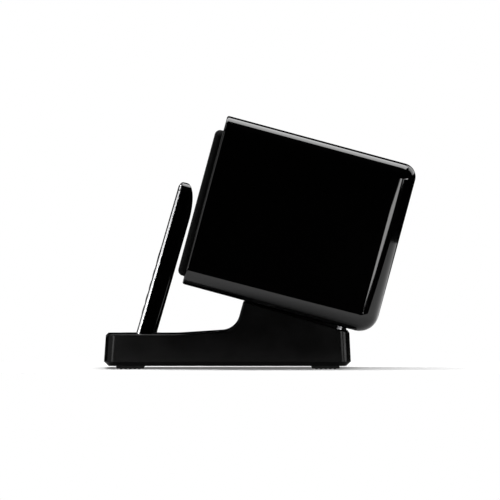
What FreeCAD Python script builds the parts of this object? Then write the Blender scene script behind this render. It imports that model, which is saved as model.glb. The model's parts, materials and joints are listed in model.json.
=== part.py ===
import FreeCAD, Part
import math
import os
from FreeCAD import Placement, Rotation, Vector

# Cordless phone: a handset in a charging base, with a loudspeaker housing on the base's neck.
# Millimetres. The front faces -Y, the right side is +X, and the feet stand on Z = 0.
# The handset and the loudspeaker are drawn upright in their own frames, then leaned back.

# Handset
handset_w = 56.0
handset_t = 13.6
handset_l = 120.0
handset_lean = 16.1        # degrees back from upright
handset_corner_r = 7.0     # corners seen from the front
handset_top_r = 4.0        # front edge of the top
handset_side_r = 2.4       # long edges of the back
crown_l = 25.5             # length over which the back curves in to the top
crown_t = 8.4              # how far it curves in
handset_wall = 1.2
cover_t = 0.7
bezel_t = 1.6
bezel_w = 1.6

# Keys
digit_w = 12.0
digit_h = 6.5
digit_pitch_x = 16.0
digit_pitch_z = 9.0
digit_low_z = 26.0         # middle of the lowest row
call_key_w = 12.0
call_key_h = 8.0
call_row_gap = 12.5        # from the top digit row to the call keys
nav_r = 6.5
key_proud = 0.3
key_flange = 0.6
key_flange_t = 0.6
key_travel = 0.5
rocker_l = 18.0
rocker_w = 3.2
rocker_z = 93.0
rocker_proud = 0.6

# Display and the pieces inside the handset
display_w = 42.0
display_l = 36.0
display_t = 2.4
mat_t = 0.6
dome_r = 2.4
dome_h = 0.25
board_t = 1.0
handset_battery_size = (36.0, 5.0, 52.0)
earpiece_size = (14.0, 2.4, 5.0)
charge_plate_size = (7.0, 3.5)
charge_plate_x = 10.0

# Base
base_w = 132.0
base_wall = 2.4
foot_h = 2.2
seam_z = 5.5               # joint between the base plate and the base shell
deck_z = 24.3
deck_flat_l = 51.4
deck_rise = 3.8            # degrees, behind the flat of the deck
deck_blend_r = 120.0
front_draft = 1.3
rear_draft = 1.0
corner_r = 6.5
plate_chamfer = 3.2
neck_lean = 15.5           # degrees, front face of the neck
neck_slope = 16.4          # degrees, top face of the neck
neck_run = 73.7            # length of the neck's top, measured level
neck_foot_r = 13.0
neck_edge_r = 2.0
base_edge_r = 1.0
foot_w = 18.0
foot_l = 19.5
front_foot_y = 8.5
rear_foot_margin = 7.8     # from the rear foot to the back of the base
foot_side_margin = 6.0
foot_sunk = 0.8
foot_corner_r = 3.0
screw_r = 1.5
screw_l = 11.0
screw_head_r = 2.8
screw_head_t = 1.6
boss_r = 4.0
boss_side = 12.0           # from a side of the base to a screw
front_screw_y = 34.0
rear_screw_margin = 34.0

# Pieces that stand on the base plate
locate_y = 18.0            # halfway between the cradle insert and the wall across
locate_r = 4.0
locate_travel = 0.6
locate_key_t = 3.9
locate_flange = 1.2
switch_plate_z = 7.6
base_board_z = 8.0
stand_r = 3.0
ballast_t = 2.5
ballast_side = 24.0        # from a side of the base to the ballast
ballast_front_y = 8.0
ballast_rear_margin = 10.0 # from the ballast to the end of the flat deck
power_x = -22.0
power_w = 9.0
power_h = 11.0
power_l = 14.4
power_bore_r = 2.75
power_pin_r = 1.0
line_x = 18.0
line_w = 12.8
line_h = 11.6
line_l = 16.0
line_mouth_w = 9.8
line_mouth_h = 6.8
line_mouth_l = 13.0
socket_recess = 1.2
light_r = 1.2
light_l = 8.0

# Cradle
handset_front_y = 22.1     # front of the handset where it leaves the deck
handset_sunk = 9.0
cradle_clearance = 0.5
cradle_wall = 1.6
insert_w = 80.0
insert_front_y = 11.7
insert_rear_lip = 2.2
insert_t = 1.5
insert_proud = 0.35
insert_corner_r = 4.0
contact_pin_r = 1.0

# Seat for the loudspeaker
seat_gap = 0.45            # between the neck's front edge and the loudspeaker
seat_clearance = 0.3
post_r = 2.0
post_front_side = 36.0     # from a side of the base to a front post
post_rear_side = 9.0
post_front_margin = 12.0
post_rear_margin = 7.2
post_engage = 1.5
post_depth = 7.0
pad_side = 16.0            # from a side of the base to the pad
pad_front_margin = 4.0
pad_rear_margin = 3.0
seat_contact_r = 0.8
seat_contact_pitch = 5.0

# Loudspeaker housing
speaker_w = 156.0
speaker_depth = 138.0
speaker_h = 121.5
speaker_tilt = 15.1        # degrees back from upright
speaker_front_z = 59.6     # height of the lower front corner
speaker_overhang = 44.6    # from its front to the neck's front edge
speaker_wall = 3.0
top_side_r = 11.0
bottom_side_r = 12.5
rear_top_r = 9.5
rear_bottom_r = 13.5
rear_side_r = 11.5
rim_r = 1.5
baffle_t = 4.0
baffle_recess = 1.5
grille_proud = 5.3
grille_top_margin = 11.0
grille_bottom_margin = 5.6
grille_side_margin = 6.0
grille_corner_r = 5.0
grille_edge_r = 3.8
mesh_t = 0.8
grille_frame_wall = 2.0
handset_to_grille = 1.8    # narrowest space behind the handset

# Loudspeaker driver
driver_r = 46.0
driver_hole_r = 41.5
flange_t = 2.0
basket_depth = 28.0
basket_rear_r = 24.0
basket_t = 1.6
magnet_r = 30.0
magnet_t = 16.0
coil_r = 12.4
coil_wall = 0.8
coil_gap = 0.8
roll_mid_r = 36.5
roll_r = 3.2
roll_t = 0.7
cone_t = 0.8
cone_clearance = 0.3

# Pieces inside the loudspeaker housing
amp_z = 9.0
amp_w = 100.0
amp_l = 75.0
amp_y = 50.0
pack_size = (78.0, 40.0, 20.0)
pack_y = 66.0
pack_drop = 6.0

# Fits shared by several pieces
key_clearance = 0.25
fit_clearance = 0.15
pcb_t = 1.6

along_x = Vector(1, 0, 0)
along_y = Vector(0, 1, 0)
along_z = Vector(0, 0, 1)
sides = (-1, 1)


def block(x_mid, y_low, z_low, x_size, y_size, z_size):
    return Part.makeBox(x_size, y_size, z_size, Vector(x_mid - x_size / 2, y_low, z_low))


def is_along(edge, axis):
    run = edge.Vertexes[-1].Point - edge.Vertexes[0].Point
    return run.Length > 0 and abs(run.dot(axis)) > 0.999 * run.Length


def rounded(shape, axis, radius):
    return shape.makeFillet(radius, [edge for edge in shape.Edges if is_along(edge, axis)])


def rod(x, y, z, axis, radius, length):
    return Part.makeCylinder(radius, length, Vector(x, y, z), axis)


def ring(centre, axis, outer_r, inner_r, length):
    outer = Part.makeCylinder(outer_r, length, centre, axis)
    return outer.cut(Part.makeCylinder(inner_r, length, centre, axis))


def fused(shapes):
    return shapes[0].fuse(shapes[1:]).removeSplitter()


def leaned(y, z, degrees):
    return Placement(Vector(0, y, z), Rotation(along_x, -degrees))


def placed(shape, frame):
    return shape.transformed(frame.toMatrix())


def turned(y, z, degrees):
    # Where (y, z) of a leaned frame points in the level one
    angle = math.radians(degrees)
    return (y * math.cos(angle) + z * math.sin(angle), z * math.cos(angle) - y * math.sin(angle))


def crossing(line_a, line_b):
    (ay, az), (by, bz) = line_a
    (cy, cz), (dy, dz) = line_b
    across = (by - ay) * (dz - cz) - (bz - az) * (dy - cy)
    share = ((cy - ay) * (dz - cz) - (cz - az) * (dy - cy)) / across
    return (ay + share * (by - ay), az + share * (bz - az))


def moved_in(line, distance):
    (ay, az), (by, bz) = line
    length = math.hypot(by - ay, bz - az)
    shift_y = -(bz - az) / length * distance
    shift_z = (by - ay) / length * distance
    return ((ay + shift_y, az + shift_z), (by + shift_y, bz + shift_z))


# Places that follow from the sizes above, in the base's own frame: Y = 0 at its front face
sunk_y, sunk_z = turned(0, handset_sunk, handset_lean)
handset_y = handset_front_y - sunk_y
handset_z = deck_z + insert_proud - sunk_z
crown_y, crown_z = turned(handset_t, handset_l - crown_l, handset_lean)
tilt_sin = math.sin(math.radians(speaker_tilt))
tilt_cos = math.cos(math.radians(speaker_tilt))
crown_depth = (handset_y + crown_y) * tilt_cos - (handset_z + crown_z) * tilt_sin
rim_depth = crown_depth + handset_to_grille + grille_proud
speaker_y = (rim_depth + speaker_front_z * tilt_sin) / tilt_cos
neck_shift_y, neck_shift_z = turned(speaker_overhang, -seat_gap, speaker_tilt)
neck_front = (speaker_y + neck_shift_y, speaker_front_z + neck_shift_z)
neck_drop = neck_run * math.tan(math.radians(neck_slope))
neck_rear = (neck_front[0] + neck_run, neck_front[1] - neck_drop)
base_l = neck_rear[0] + rear_draft
speaker_rear_y, speaker_rear_z = turned(speaker_depth - rear_top_r, speaker_h - rear_top_r, speaker_tilt)
rear_most = speaker_y + speaker_rear_y + rear_top_r
socket_z = base_board_z + pcb_t
locate_x = (insert_w / 2 + base_w / 2 - base_wall) / 2
middle_y = rear_most / 2
base_frame = Placement(Vector(0, -middle_y, 0), Rotation())
handset_frame = leaned(handset_y - middle_y, handset_z, handset_lean)
speaker_frame = leaned(speaker_y - middle_y, speaker_front_z, speaker_tilt)
handset_in_base = leaned(handset_y, handset_z, handset_lean)
speaker_in_base = leaned(speaker_y, speaker_front_z, speaker_tilt)
deck_top_z = deck_z + insert_proud

nodes = {}


# Handset pieces, in the handset's frame: the front face is Y = 0 and the lower end is Z = 0

def handset_profile(inset, front_r, front):
    # Seen from the side: the back curves in to the top, and the top's front edge is rounded by front_r
    back = handset_t - inset
    top = handset_l - inset
    crown_mid = Vector(0, handset_t - crown_t, handset_l - crown_l)
    crown_top = crown_mid + along_z * (crown_l - inset)
    crown_back = crown_mid + along_y * (crown_t - inset)
    ellipse = Part.Ellipse(crown_top, crown_back, crown_mid)
    edges = [Part.ArcOfEllipse(ellipse, 0, math.pi / 2).toShape()]
    low_corners = [Vector(0, front, inset), Vector(0, back, inset), crown_back]
    edges += Part.makePolygon(low_corners).Edges
    arc_mid = Vector(0, front + front_r, top - front_r)
    front_top = arc_mid - along_y * front_r
    top_front = arc_mid + along_z * front_r
    lean_in = front_r * math.sqrt(0.5)
    edges.append(Part.Arc(front_top, arc_mid + Vector(0, -lean_in, lean_in), top_front).toShape())
    edges.append(Part.makeLine(top_front, crown_top))
    edges.append(Part.makeLine(front_top, low_corners[0]))
    return Part.Face(Part.Wire(Part.__sortEdges__(edges)))


def handset_body(inset):
    width = handset_w - 2 * inset
    to_side = Vector(-width / 2, 0, 0)
    body = handset_profile(inset, 1.0, -10.0).extrude(along_x * width).translated(to_side)
    side_edges = [edge for edge in body.Edges if is_side_edge(edge, width / 2)]
    body = body.makeFillet(handset_side_r - inset, side_edges)
    front_r = handset_top_r - inset
    body = body.common(handset_profile(inset, front_r, inset).extrude(along_x * width).translated(to_side))
    outline = block(0, 0, inset, width, handset_t, handset_l - 2 * inset)
    return body.common(rounded(outline, along_y, handset_corner_r - inset))


def is_side_edge(edge, half_width):
    spread = edge.BoundBox
    flat = abs(abs(edge.CenterOfMass.x) - half_width) < 0.001 and spread.XLength < 0.001
    return flat and edge.CenterOfMass.y > handset_t * 0.6


def handset_slice(body, y_low, y_high):
    return body.common(block(0, y_low, -1, handset_w + 2, y_high - y_low, handset_l + 2))


def pill(x, z, width, height, y_low, depth):
    shape = block(x, y_low, z - height / 2, width, depth, height)
    return rounded(shape, along_y, min(width, height) / 2 - 0.01)


def key_places():
    # name, x, z, width, height
    places = []
    for row, names in enumerate((("star", "0", "hash"), ("7", "8", "9"), ("4", "5", "6"), ("1", "2", "3"))):
        for column, name in enumerate(names):
            x = (column - 1) * digit_pitch_x
            z = digit_low_z + row * digit_pitch_z
            places.append(("key_" + name, x, z, digit_w, digit_h))
    call_z = digit_low_z + 3 * digit_pitch_z + call_row_gap
    places.append(("talk_key", -digit_pitch_x, call_z, call_key_w, call_key_h))
    places.append(("end_key", digit_pitch_x, call_z, call_key_w, call_key_h))
    places.append(("nav_key", 0, call_z, 2 * nav_r, 2 * nav_r))
    return places


def make_handset():
    body = handset_body(0)
    cavity = handset_body(handset_wall)
    bezel_y = cover_t + bezel_t
    display_z = key_places()[-1][2] + nav_r + 3.0
    earpiece_z = display_z + display_l + 2.0

    cover = handset_slice(body, 0, cover_t)
    for name, x, z, width, height in key_places():
        hole_w = width + 2 * key_clearance
        hole_h = height + 2 * key_clearance
        cover = cover.cut(pill(x, z, hole_w, hole_h, -1, cover_t + 2))
    cover = cover.cut(pill(0, earpiece_z + earpiece_size[2] / 2, 11.0, 1.8, -1, cover_t + 2))
    nodes["front_cover"] = placed(cover, handset_frame)

    window = block(0, 0, bezel_w, handset_w - 2 * bezel_w, bezel_y, handset_l - 2 * bezel_w)
    window = rounded(window, along_y, handset_corner_r - bezel_w)
    bezel = handset_slice(body, cover_t, bezel_y).cut(window)
    nodes["handset_bezel"] = placed(bezel, handset_frame)

    back = handset_slice(body, bezel_y, handset_t + 1).cut(cavity)
    plate_w, plate_l = charge_plate_size
    plate_y = handset_t / 2 - plate_l / 2
    plates = [block(side * charge_plate_x, plate_y, 0.15, plate_w, plate_l, 1.35) for side in sides]
    mouths = [block(side * charge_plate_x, plate_y, -1, plate_w, plate_l, 3) for side in sides]
    slot_y = handset_t / 2 - rocker_w / 2
    slot = block(-handset_w / 2, slot_y, rocker_z - rocker_l / 2, 4, rocker_w, rocker_l)
    back = back.cut([rounded(slot, along_x, rocker_w / 2 - 0.05)] + mouths)
    nodes["handset_back"] = placed(back, handset_frame)
    nodes["charge_plates"] = placed(Part.makeCompound(plates), handset_frame)

    cap_l = rocker_l - 2 * key_clearance
    cap_w = rocker_w - 2 * key_clearance
    wall_x = -handset_w / 2
    cap_t = rocker_proud + handset_wall + 0.7
    cap_x = wall_x - rocker_proud + cap_t / 2
    cap = block(cap_x, handset_t / 2 - cap_w / 2, rocker_z - cap_l / 2, cap_t, cap_w, cap_l)
    cap = rounded(cap, along_x, cap_w / 2 - 0.05)
    flange_x = wall_x + handset_wall + 0.6
    flange_l = rocker_l + 1.6
    flange = block(flange_x + 0.4, handset_t / 2 - 2.2, rocker_z - flange_l / 2, 0.8, 4.4, flange_l)
    nodes["volume_rocker"] = placed(fused([cap, flange]), handset_frame)

    display = block(0, cover_t + 0.1, display_z, display_w, display_t, display_l)
    nodes["display_module"] = placed(display, handset_frame)
    earpiece = block(0, cover_t + 0.1, earpiece_z, *earpiece_size)
    nodes["earpiece"] = placed(rounded(earpiece, along_y, 1.5), handset_frame)

    for name, x, z, width, height in key_places():
        flange_y = cover_t + key_clearance
        cap = pill(x, z, width, height, -key_proud, key_proud + flange_y + key_flange_t)
        flange = pill(x, z, width + 2 * key_flange, height + 2 * key_flange, flange_y, key_flange_t)
        nodes[name] = placed(fused([cap, flange]), handset_frame)

    mat_y = cover_t + key_clearance + key_flange_t + key_travel + dome_h + 0.25
    mat_z = digit_low_z - digit_h
    mat_l = display_z - 1.0 - mat_z
    mat = block(0, mat_y, mat_z, handset_w - 10, mat_t, mat_l)
    dome_y = mat_y - dome_h
    domes = [rod(x, dome_y, z, along_y, dome_r, dome_h) for name, x, z, width, height in key_places()]
    nodes["keypad_mat"] = placed(fused([mat] + domes), handset_frame)

    board_y = cover_t + 0.1 + display_t + 0.1
    board_y = max(board_y, mat_y + mat_t)
    board_z = 8.0
    board = block(0, board_y, board_z, handset_w - 8, board_t, earpiece_z - 1 - board_z)
    nodes["handset_board"] = placed(rounded(board, along_y, 3.0), handset_frame)
    rear_y = board_y + board_t
    parts = [
        block(-10, rear_y, rocker_z - 14, 16, 1.4, 18),
        block(12, rear_y, rocker_z - 12, 9, 1.1, 9),
        block(12, rear_y, rocker_z + 4, 6, 0.9, 5),
        block(-8, rear_y, board_z + 1, 5, 1.6, 4),
        block(2, rear_y, board_z + 2, 8, 1.2, 3),
    ]
    nodes["handset_board_parts"] = placed(Part.makeCompound(parts), handset_frame)
    battery_w, battery_t, battery_l = handset_battery_size
    battery = block(0, rear_y + 0.4, board_z + 10, battery_w, battery_t, battery_l)
    nodes["handset_battery"] = placed(rounded(battery, along_z, 1.5), handset_frame)


# Base pieces, in the base's frame: the front face is Y = 0

def base_outline():
    rise = math.tan(math.radians(deck_rise))
    lean = math.tan(math.radians(neck_lean))
    deck_line = ((deck_flat_l, deck_z), (deck_flat_l + 10, deck_z + 10 * rise))
    neck_line = (neck_front, (neck_front[0] - 10 * lean, neck_front[1] - 10))
    return [
        (0, seam_z),
        (base_l, seam_z),
        neck_rear,
        neck_front,
        crossing(deck_line, neck_line),
        (deck_flat_l, deck_z),
        (front_draft, deck_z),
    ]


def base_block(inset, bottom_drop):
    points = base_outline()
    lines = [(points[i], points[(i + 1) % len(points)]) for i in range(len(points))]
    insets = [-bottom_drop] + [inset] * (len(lines) - 1)
    lines = [moved_in(line, distance) for line, distance in zip(lines, insets)]
    corners = [crossing(lines[i - 1], lines[i]) for i in range(len(lines))]
    width = base_w - 2 * inset
    places = [Vector(-width / 2, y, z) for y, z in corners]
    start, middle, end = blend(places[4], places[5], places[6], deck_blend_r + inset)
    edges = Part.makePolygon([end, places[6]] + places[:5] + [start]).Edges
    edges.append(Part.Arc(start, middle, end).toShape())
    shape = Part.Face(Part.Wire(edges)).extrude(along_x * width)
    upright = [edge for edge in shape.Edges if is_corner_edge(edge, corners)]
    shape = shape.makeFillet(corner_r - inset, upright)
    foot = [edge for edge in shape.Edges if is_across_at(edge, corners[4])]
    return shape.makeFillet(neck_foot_r + inset, foot), corners


def blend(before, corner, after, radius):
    # Start, middle and end of the arc that rounds a corner
    to_before = (before - corner).normalize()
    to_after = (after - corner).normalize()
    half_turn = (math.pi - to_before.getAngle(to_after)) / 2
    reach = radius * math.tan(half_turn)
    towards = (to_before + to_after).normalize()
    depth = radius * (1 / math.cos(half_turn) - 1)
    return corner + to_before * reach, corner + towards * depth, corner + to_after * reach


def is_corner_edge(edge, corners):
    if is_along(edge, along_x):
        return False
    spread = edge.BoundBox
    front_or_rear = spread.YMax < corners[6][0] + 0.01 or spread.YMin > corners[2][0] - 0.01
    return front_or_rear and spread.ZLength > 1


def is_across_at(edge, point):
    middle = edge.CenterOfMass
    return is_along(edge, along_x) and math.hypot(middle.y - point[0], middle.z - point[1]) < 0.01


def base_outer():
    shape, corners = base_block(0, 0)
    neck_edge = [edge for edge in shape.Edges if is_across_at(edge, corners[3])]
    shape = shape.makeFillet(neck_edge_r, neck_edge)
    top_edges = []
    for edge in shape.Edges:
        spread = edge.BoundBox
        at_side = spread.XMax > base_w / 2 - corner_r - 0.01 or spread.XMin < corner_r + 0.01 - base_w / 2
        at_end = is_across_at(edge, corners[2]) or is_across_at(edge, corners[6])
        if spread.ZMin > seam_z + 1 and ((at_side and not is_along(edge, along_x)) or at_end):
            top_edges.append(edge)
    return shape.makeFillet(base_edge_r, top_edges)


def screw_places():
    side_x = base_w / 2 - boss_side
    return [(side * side_x, y) for side in sides for y in (front_screw_y, base_l - rear_screw_margin)]


def cradle_outline(margin, low, high):
    shape = block(0, -margin, low, handset_w + 2 * margin, handset_t + 2 * margin, high - low)
    return placed(rounded(shape, along_z, margin), handset_in_base)


def insert_outline(margin, z_low, z_high):
    rear_y = handset_front_y + handset_t / math.cos(math.radians(handset_lean))
    length = rear_y + cradle_clearance + insert_rear_lip - insert_front_y
    width = insert_w + 2 * margin
    shape = block(0, insert_front_y - margin, z_low, width, length + 2 * margin, z_high - z_low)
    return rounded(shape, along_z, insert_corner_r + margin)


def foot_places():
    side_x = base_w / 2 - foot_side_margin - foot_w / 2
    rear_y = base_l - rear_foot_margin - foot_l
    return [(side * side_x, y) for side in sides for y in (front_foot_y, rear_y)]


def foot_block(x, y, margin, z_high):
    shape = block(x, y - margin, 0, foot_w + 2 * margin, foot_l + 2 * margin, z_high)
    return rounded(shape, along_z, foot_corner_r + margin)


def post_places():
    # x and y of each seat post in the loudspeaker's frame; the front pair comes up through the pad
    front = (base_w / 2 - post_front_side, speaker_overhang + post_front_margin)
    rear = (base_w / 2 - post_rear_side, speaker_overhang + (neck_run - post_rear_margin) / tilt_cos)
    return [(side * x, y) for side in sides for x, y in (front, rear)]


def contact_block(margin, low, high):
    middle_y = speaker_overhang + 0.45 * neck_run
    shape = block(0, middle_y - 3 - margin, low, 28 + 2 * margin, 6 + 2 * margin, high - low)
    return rounded(shape, along_z, 2.0 + margin)


def contact_places():
    middle_y = speaker_overhang + 0.45 * neck_run
    return [(step * seat_contact_pitch, middle_y) for step in (-2, -1, 0, 1, 2)]


def make_base_shell(outer):
    cavity, corners = base_block(base_wall, 2.0)
    bosses = [rod(x, y, seam_z, along_z, boss_r, 80) for x, y in screw_places()]
    for x, y in post_places():
        sleeve = rod(x, y, -post_depth - 2, along_z, post_r + 2, post_depth + 2)
        bosses.append(placed(sleeve, speaker_in_base))
    shell = outer.cut(cavity)
    shell = fused([shell] + [boss.common(outer) for boss in bosses])
    for x, y in screw_places():
        shell = shell.cut(rod(x, y, seam_z - 1, along_z, screw_r, screw_l + 1))
    for x, y in post_places():
        shell = shell.cut(placed(rod(x, y, -post_depth, along_z, post_r, post_depth + 5), speaker_in_base))
    shell = shell.cut(placed(contact_block(fit_clearance, -12, 5), speaker_in_base))
    shell = shell.cut(insert_outline(fit_clearance, deck_top_z - insert_t, deck_z + 5))
    shell = shell.cut(cradle_outline(cradle_clearance + cradle_wall + fit_clearance, -4, 20))
    shell = shell.cut(rod(locate_x, locate_y, deck_z - 8, along_z, locate_r + key_clearance, 10))
    shell = shell.cut(rod(0, -1, (seam_z + deck_z) / 2, along_y, light_r, light_l))
    rear_low = base_l - base_wall - 4
    for x, width, height in ((power_x, power_w, power_h), (line_x, line_w, line_h)):
        gap = fit_clearance
        shell = shell.cut(block(x, rear_low, socket_z - gap, width + 2 * gap, 8, height + 2 * gap))
    nodes["base_shell"] = placed(shell, base_frame)


def make_base_plate():
    plate = rounded(block(0, 0, foot_h, base_w, base_l, seam_z - foot_h), along_z, corner_r)
    low_edges = [edge for edge in plate.Edges if edge.BoundBox.ZMax < foot_h + 0.01]
    plate = plate.makeChamfer(plate_chamfer, low_edges)
    low_z = seam_z - 0.5
    stands = [rod(x, y, low_z, along_z, stand_r, base_board_z - low_z) for x, y in stand_places()]
    stands.append(rod(locate_x, locate_y, low_z, along_z, stand_r, switch_plate_z - low_z))
    plate = fused([plate] + stands)
    for x, y in screw_places():
        plate = plate.cut(rod(x, y, foot_h - 1, along_z, screw_r + fit_clearance, 8))
        plate = plate.cut(rod(x, y, foot_h - 1, along_z, screw_head_r + fit_clearance, 1 + screw_head_t))
    for x, y in foot_places():
        plate = plate.cut(foot_block(x, y, 0, foot_h + foot_sunk))
    nodes["base_plate"] = placed(plate, base_frame)

    feet = [foot_block(x, y, 0, foot_h + foot_sunk) for x, y in foot_places()]
    nodes["base_feet"] = placed(Part.makeCompound(feet), base_frame)

    screws = []
    for x, y in screw_places():
        head = rod(x, y, foot_h + 0.1, along_z, screw_head_r, screw_head_t - 0.1)
        shank = rod(x, y, foot_h + 0.1, along_z, screw_r, screw_l)
        drive = rod(x, y, foot_h - 1, along_z, 1.0, 1.9)
        screws.append(fused([head, shank]).cut(drive))
    nodes["base_screws"] = placed(Part.makeCompound(screws), base_frame)


def board_span():
    return (deck_flat_l + 6, base_l - base_wall - 3)


def stand_places():
    low_y, high_y = board_span()
    return [(side * 40, y) for side in sides for y in (low_y + 6, high_y - 22)]


def make_base_inside():
    low_y, high_y = board_span()
    board = block(0, low_y, base_board_z, 2 * (base_w / 2 - boss_side - boss_r - 2), high_y - low_y, pcb_t)
    nodes["base_board"] = placed(rounded(board, along_z, 2.0), base_frame)
    top_z = base_board_z + pcb_t
    parts = [
        block(-14, low_y + 18, top_z, 30, 24, 3.2),
        block(22, low_y + 20, top_z, 12, 12, 1.2),
        block(0, low_y + 60, top_z, 16, 6, 6),
        rod(-32, high_y - 28, top_z, along_z, 4.0, 11),
        rod(-32, high_y - 38, top_z, along_z, 4.0, 11),
        rod(34, high_y - 34, top_z, along_z, 6.0, 6),
        block(30, low_y + 50, top_z, 8, 10, 2.2),
    ]
    nodes["base_board_parts"] = placed(Part.makeCompound(parts), base_frame)

    ballast_w = base_w - 2 * ballast_side
    ballast_l = deck_flat_l - ballast_rear_margin - ballast_front_y
    ballast = block(0, ballast_front_y, seam_z, ballast_w, ballast_l, ballast_t)
    ballast = rounded(ballast, along_z, 4.0)
    nodes["ballast_plate"] = placed(ballast, base_frame)

    rear_y = base_l - socket_recess
    bore_z = socket_z + power_h / 2 + 0.3
    power = block(power_x, rear_y - power_l, socket_z, power_w, power_l, power_h)
    power = power.cut(rod(power_x, rear_y - 9.5, bore_z, along_y, power_bore_r, 10))
    pin = rod(power_x, rear_y - 10, bore_z, along_y, power_pin_r, 9.2)
    nodes["power_socket"] = placed(fused([power, pin]), base_frame)

    line = block(line_x, rear_y - line_l, socket_z, line_w, line_l, line_h)
    mouth_z = socket_z + 2.0
    mouth_y = rear_y - line_mouth_l
    line = line.cut(block(line_x, mouth_y, mouth_z, line_mouth_w, line_mouth_l + 1, line_mouth_h))
    line = line.cut(block(line_x, mouth_y, mouth_z - 1.2, 3.4, line_mouth_l + 1, 2))
    wire_z = mouth_z + line_mouth_h - 0.5
    wires = [block(line_x + step * 1.3, mouth_y + 1, wire_z, 0.5, 7, 0.6) for step in (-1, 0, 1)]
    nodes["line_socket"] = placed(fused([line] + wires), base_frame)


def make_cradle():
    insert_low = deck_top_z - insert_t
    cup = cradle_outline(cradle_clearance + cradle_wall, -0.4 - cradle_wall, handset_sunk + 12)
    cup = cup.common(block(0, 0, 0, base_w, base_l, insert_low + 0.5))
    insert = insert_outline(0, insert_low, deck_top_z)
    insert = fused([insert, cup]).cut(cradle_outline(cradle_clearance, -0.4, handset_sunk + 12))
    pin_y = handset_t / 2
    for side in sides:
        hole = rod(side * charge_plate_x, pin_y, -3, along_z, contact_pin_r + fit_clearance, 4)
        insert = insert.cut(placed(hole, handset_in_base))
    nodes["cradle_insert"] = placed(insert, base_frame)

    pins = [rod(side * charge_plate_x, pin_y, -4.6, along_z, contact_pin_r, 4.5) for side in sides]
    holder = block(0, pin_y - 2.2, -4.2, 2 * charge_plate_x + 6, 4.4, 2.1)
    nodes["cradle_contacts"] = placed(fused([holder] + pins), handset_frame)


def make_base_controls(outer):
    cap = rod(locate_x, locate_y, deck_z - locate_key_t, along_z, locate_r, locate_key_t)
    flange = rod(locate_x, locate_y, deck_z - locate_key_t, along_z, locate_r + locate_flange, 0.9)
    plunger_z = switch_plate_z + pcb_t + 4.0
    stem_z = plunger_z + locate_travel + 0.2
    stem = rod(locate_x, locate_y, stem_z, along_z, 1.5, deck_z - locate_key_t - stem_z + 1)
    nodes["locate_key"] = placed(fused([cap, flange, stem]), base_frame)

    tile = block(locate_x, locate_y - 6, switch_plate_z, 12, 12, pcb_t)
    body = block(locate_x, locate_y - 3, switch_plate_z + pcb_t, 6, 6, 3.4)
    plunger = rod(locate_x, locate_y, switch_plate_z + pcb_t + 3, along_z, 1.5, 1.0)
    nodes["locate_switch"] = placed(fused([tile, body, plunger]), base_frame)

    light = rod(0, -1, (seam_z + deck_z) / 2, along_y, light_r, light_l + 0.9)
    nodes["status_light"] = placed(light.common(outer), base_frame)


def make_seat():
    # The pad is a wedge: its base follows the neck's top and its top follows the loudspeaker
    rise = (neck_rear[1] - neck_front[1]) / neck_run
    lift = turned(0, -seat_clearance, speaker_tilt)
    under = (speaker_y + lift[0], speaker_front_z + lift[1])
    along = turned(100, 0, speaker_tilt)
    under_line = (under, (under[0] + along[0], under[1] + along[1]))
    front_y = neck_front[0] + pad_front_margin
    rear_y = base_l - pad_rear_margin
    points = []
    for y in (front_y, rear_y):
        points.append((y, neck_front[1] + (y - neck_front[0]) * rise))
    for y in (rear_y, front_y):
        points.append(crossing(under_line, ((y, 0), (y, 10))))
    half = base_w / 2 - pad_side
    wire = Part.makePolygon([Vector(-half, y, z) for y, z in points + points[:1]])
    pad = Part.Face(wire).extrude(along_x * 2 * half)
    pad = pad.cut(placed(contact_block(fit_clearance, -12, 5), speaker_in_base))
    for x, y in post_places():
        hole = rod(x, y, -post_depth, along_z, post_r + fit_clearance, 2 * post_depth)
        pad = pad.cut(placed(hole, speaker_in_base))
    nodes["seat_pad"] = placed(pad, base_frame)

    posts = [rod(x, y, -post_depth, along_z, post_r, post_depth + post_engage) for x, y in post_places()]
    posts = [post.makeChamfer(0.4, [top_edge(post)]) for post in posts]
    nodes["seat_posts"] = placed(Part.makeCompound(posts), speaker_frame)

    pins = [rod(x, y, -10, along_z, seat_contact_r, 9.8) for x, y in contact_places()]
    nodes["seat_contacts"] = placed(fused([contact_block(0, -8.5, -0.8)] + pins), speaker_frame)


def top_edge(shape):
    return max(shape.Edges, key=lambda edge: edge.CenterOfMass.z)


# Loudspeaker pieces, in its own frame: the rim is Y = 0 and the underside is Z = 0

def speaker_block(inset, front):
    size = (speaker_w - 2 * inset, speaker_depth - inset - front, speaker_h - 2 * inset)
    shape = block(0, front, inset, *size)
    middle_z = speaker_h / 2
    rear_y = speaker_depth - inset
    rounds = []
    for number, edge in enumerate(shape.Edges, 1):
        centre = edge.CenterOfMass
        upper = centre.z > middle_z
        if is_along(edge, along_y):
            radius = top_side_r if upper else bottom_side_r
        elif centre.y < rear_y - 1:
            continue
        elif is_along(edge, along_x):
            radius = rear_top_r if upper else rear_bottom_r
        else:
            radius = rear_side_r
        rounds.append((number, radius - inset, radius - inset))
    source = drawing.addObject("Part::Feature", "block")
    source.Shape = shape
    fillet = drawing.addObject("Part::Fillet", "rounded_block")
    fillet.Base = source
    fillet.Edges = rounds
    drawing.recompute()
    return fillet.Shape.Solids[0]


def grille_block(inset, y_low, y_high):
    width = speaker_w - 2 * grille_side_margin - 2 * inset
    height = speaker_h - grille_top_margin - grille_bottom_margin - 2 * inset
    shape = block(0, y_low, grille_bottom_margin + inset, width, y_high - y_low, height)
    return rounded(shape, along_y, grille_corner_r - inset)


def front_edges(shape, y):
    return [edge for edge in shape.Edges if edge.BoundBox.YMax < y + 0.01]


def baffle_screw_places():
    side_x = speaker_w / 2 - speaker_wall - 5.8
    heights = (speaker_wall + 5.8, speaker_h - speaker_wall - 5.8)
    return [(side * side_x, z) for side in sides for z in heights]


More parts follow.
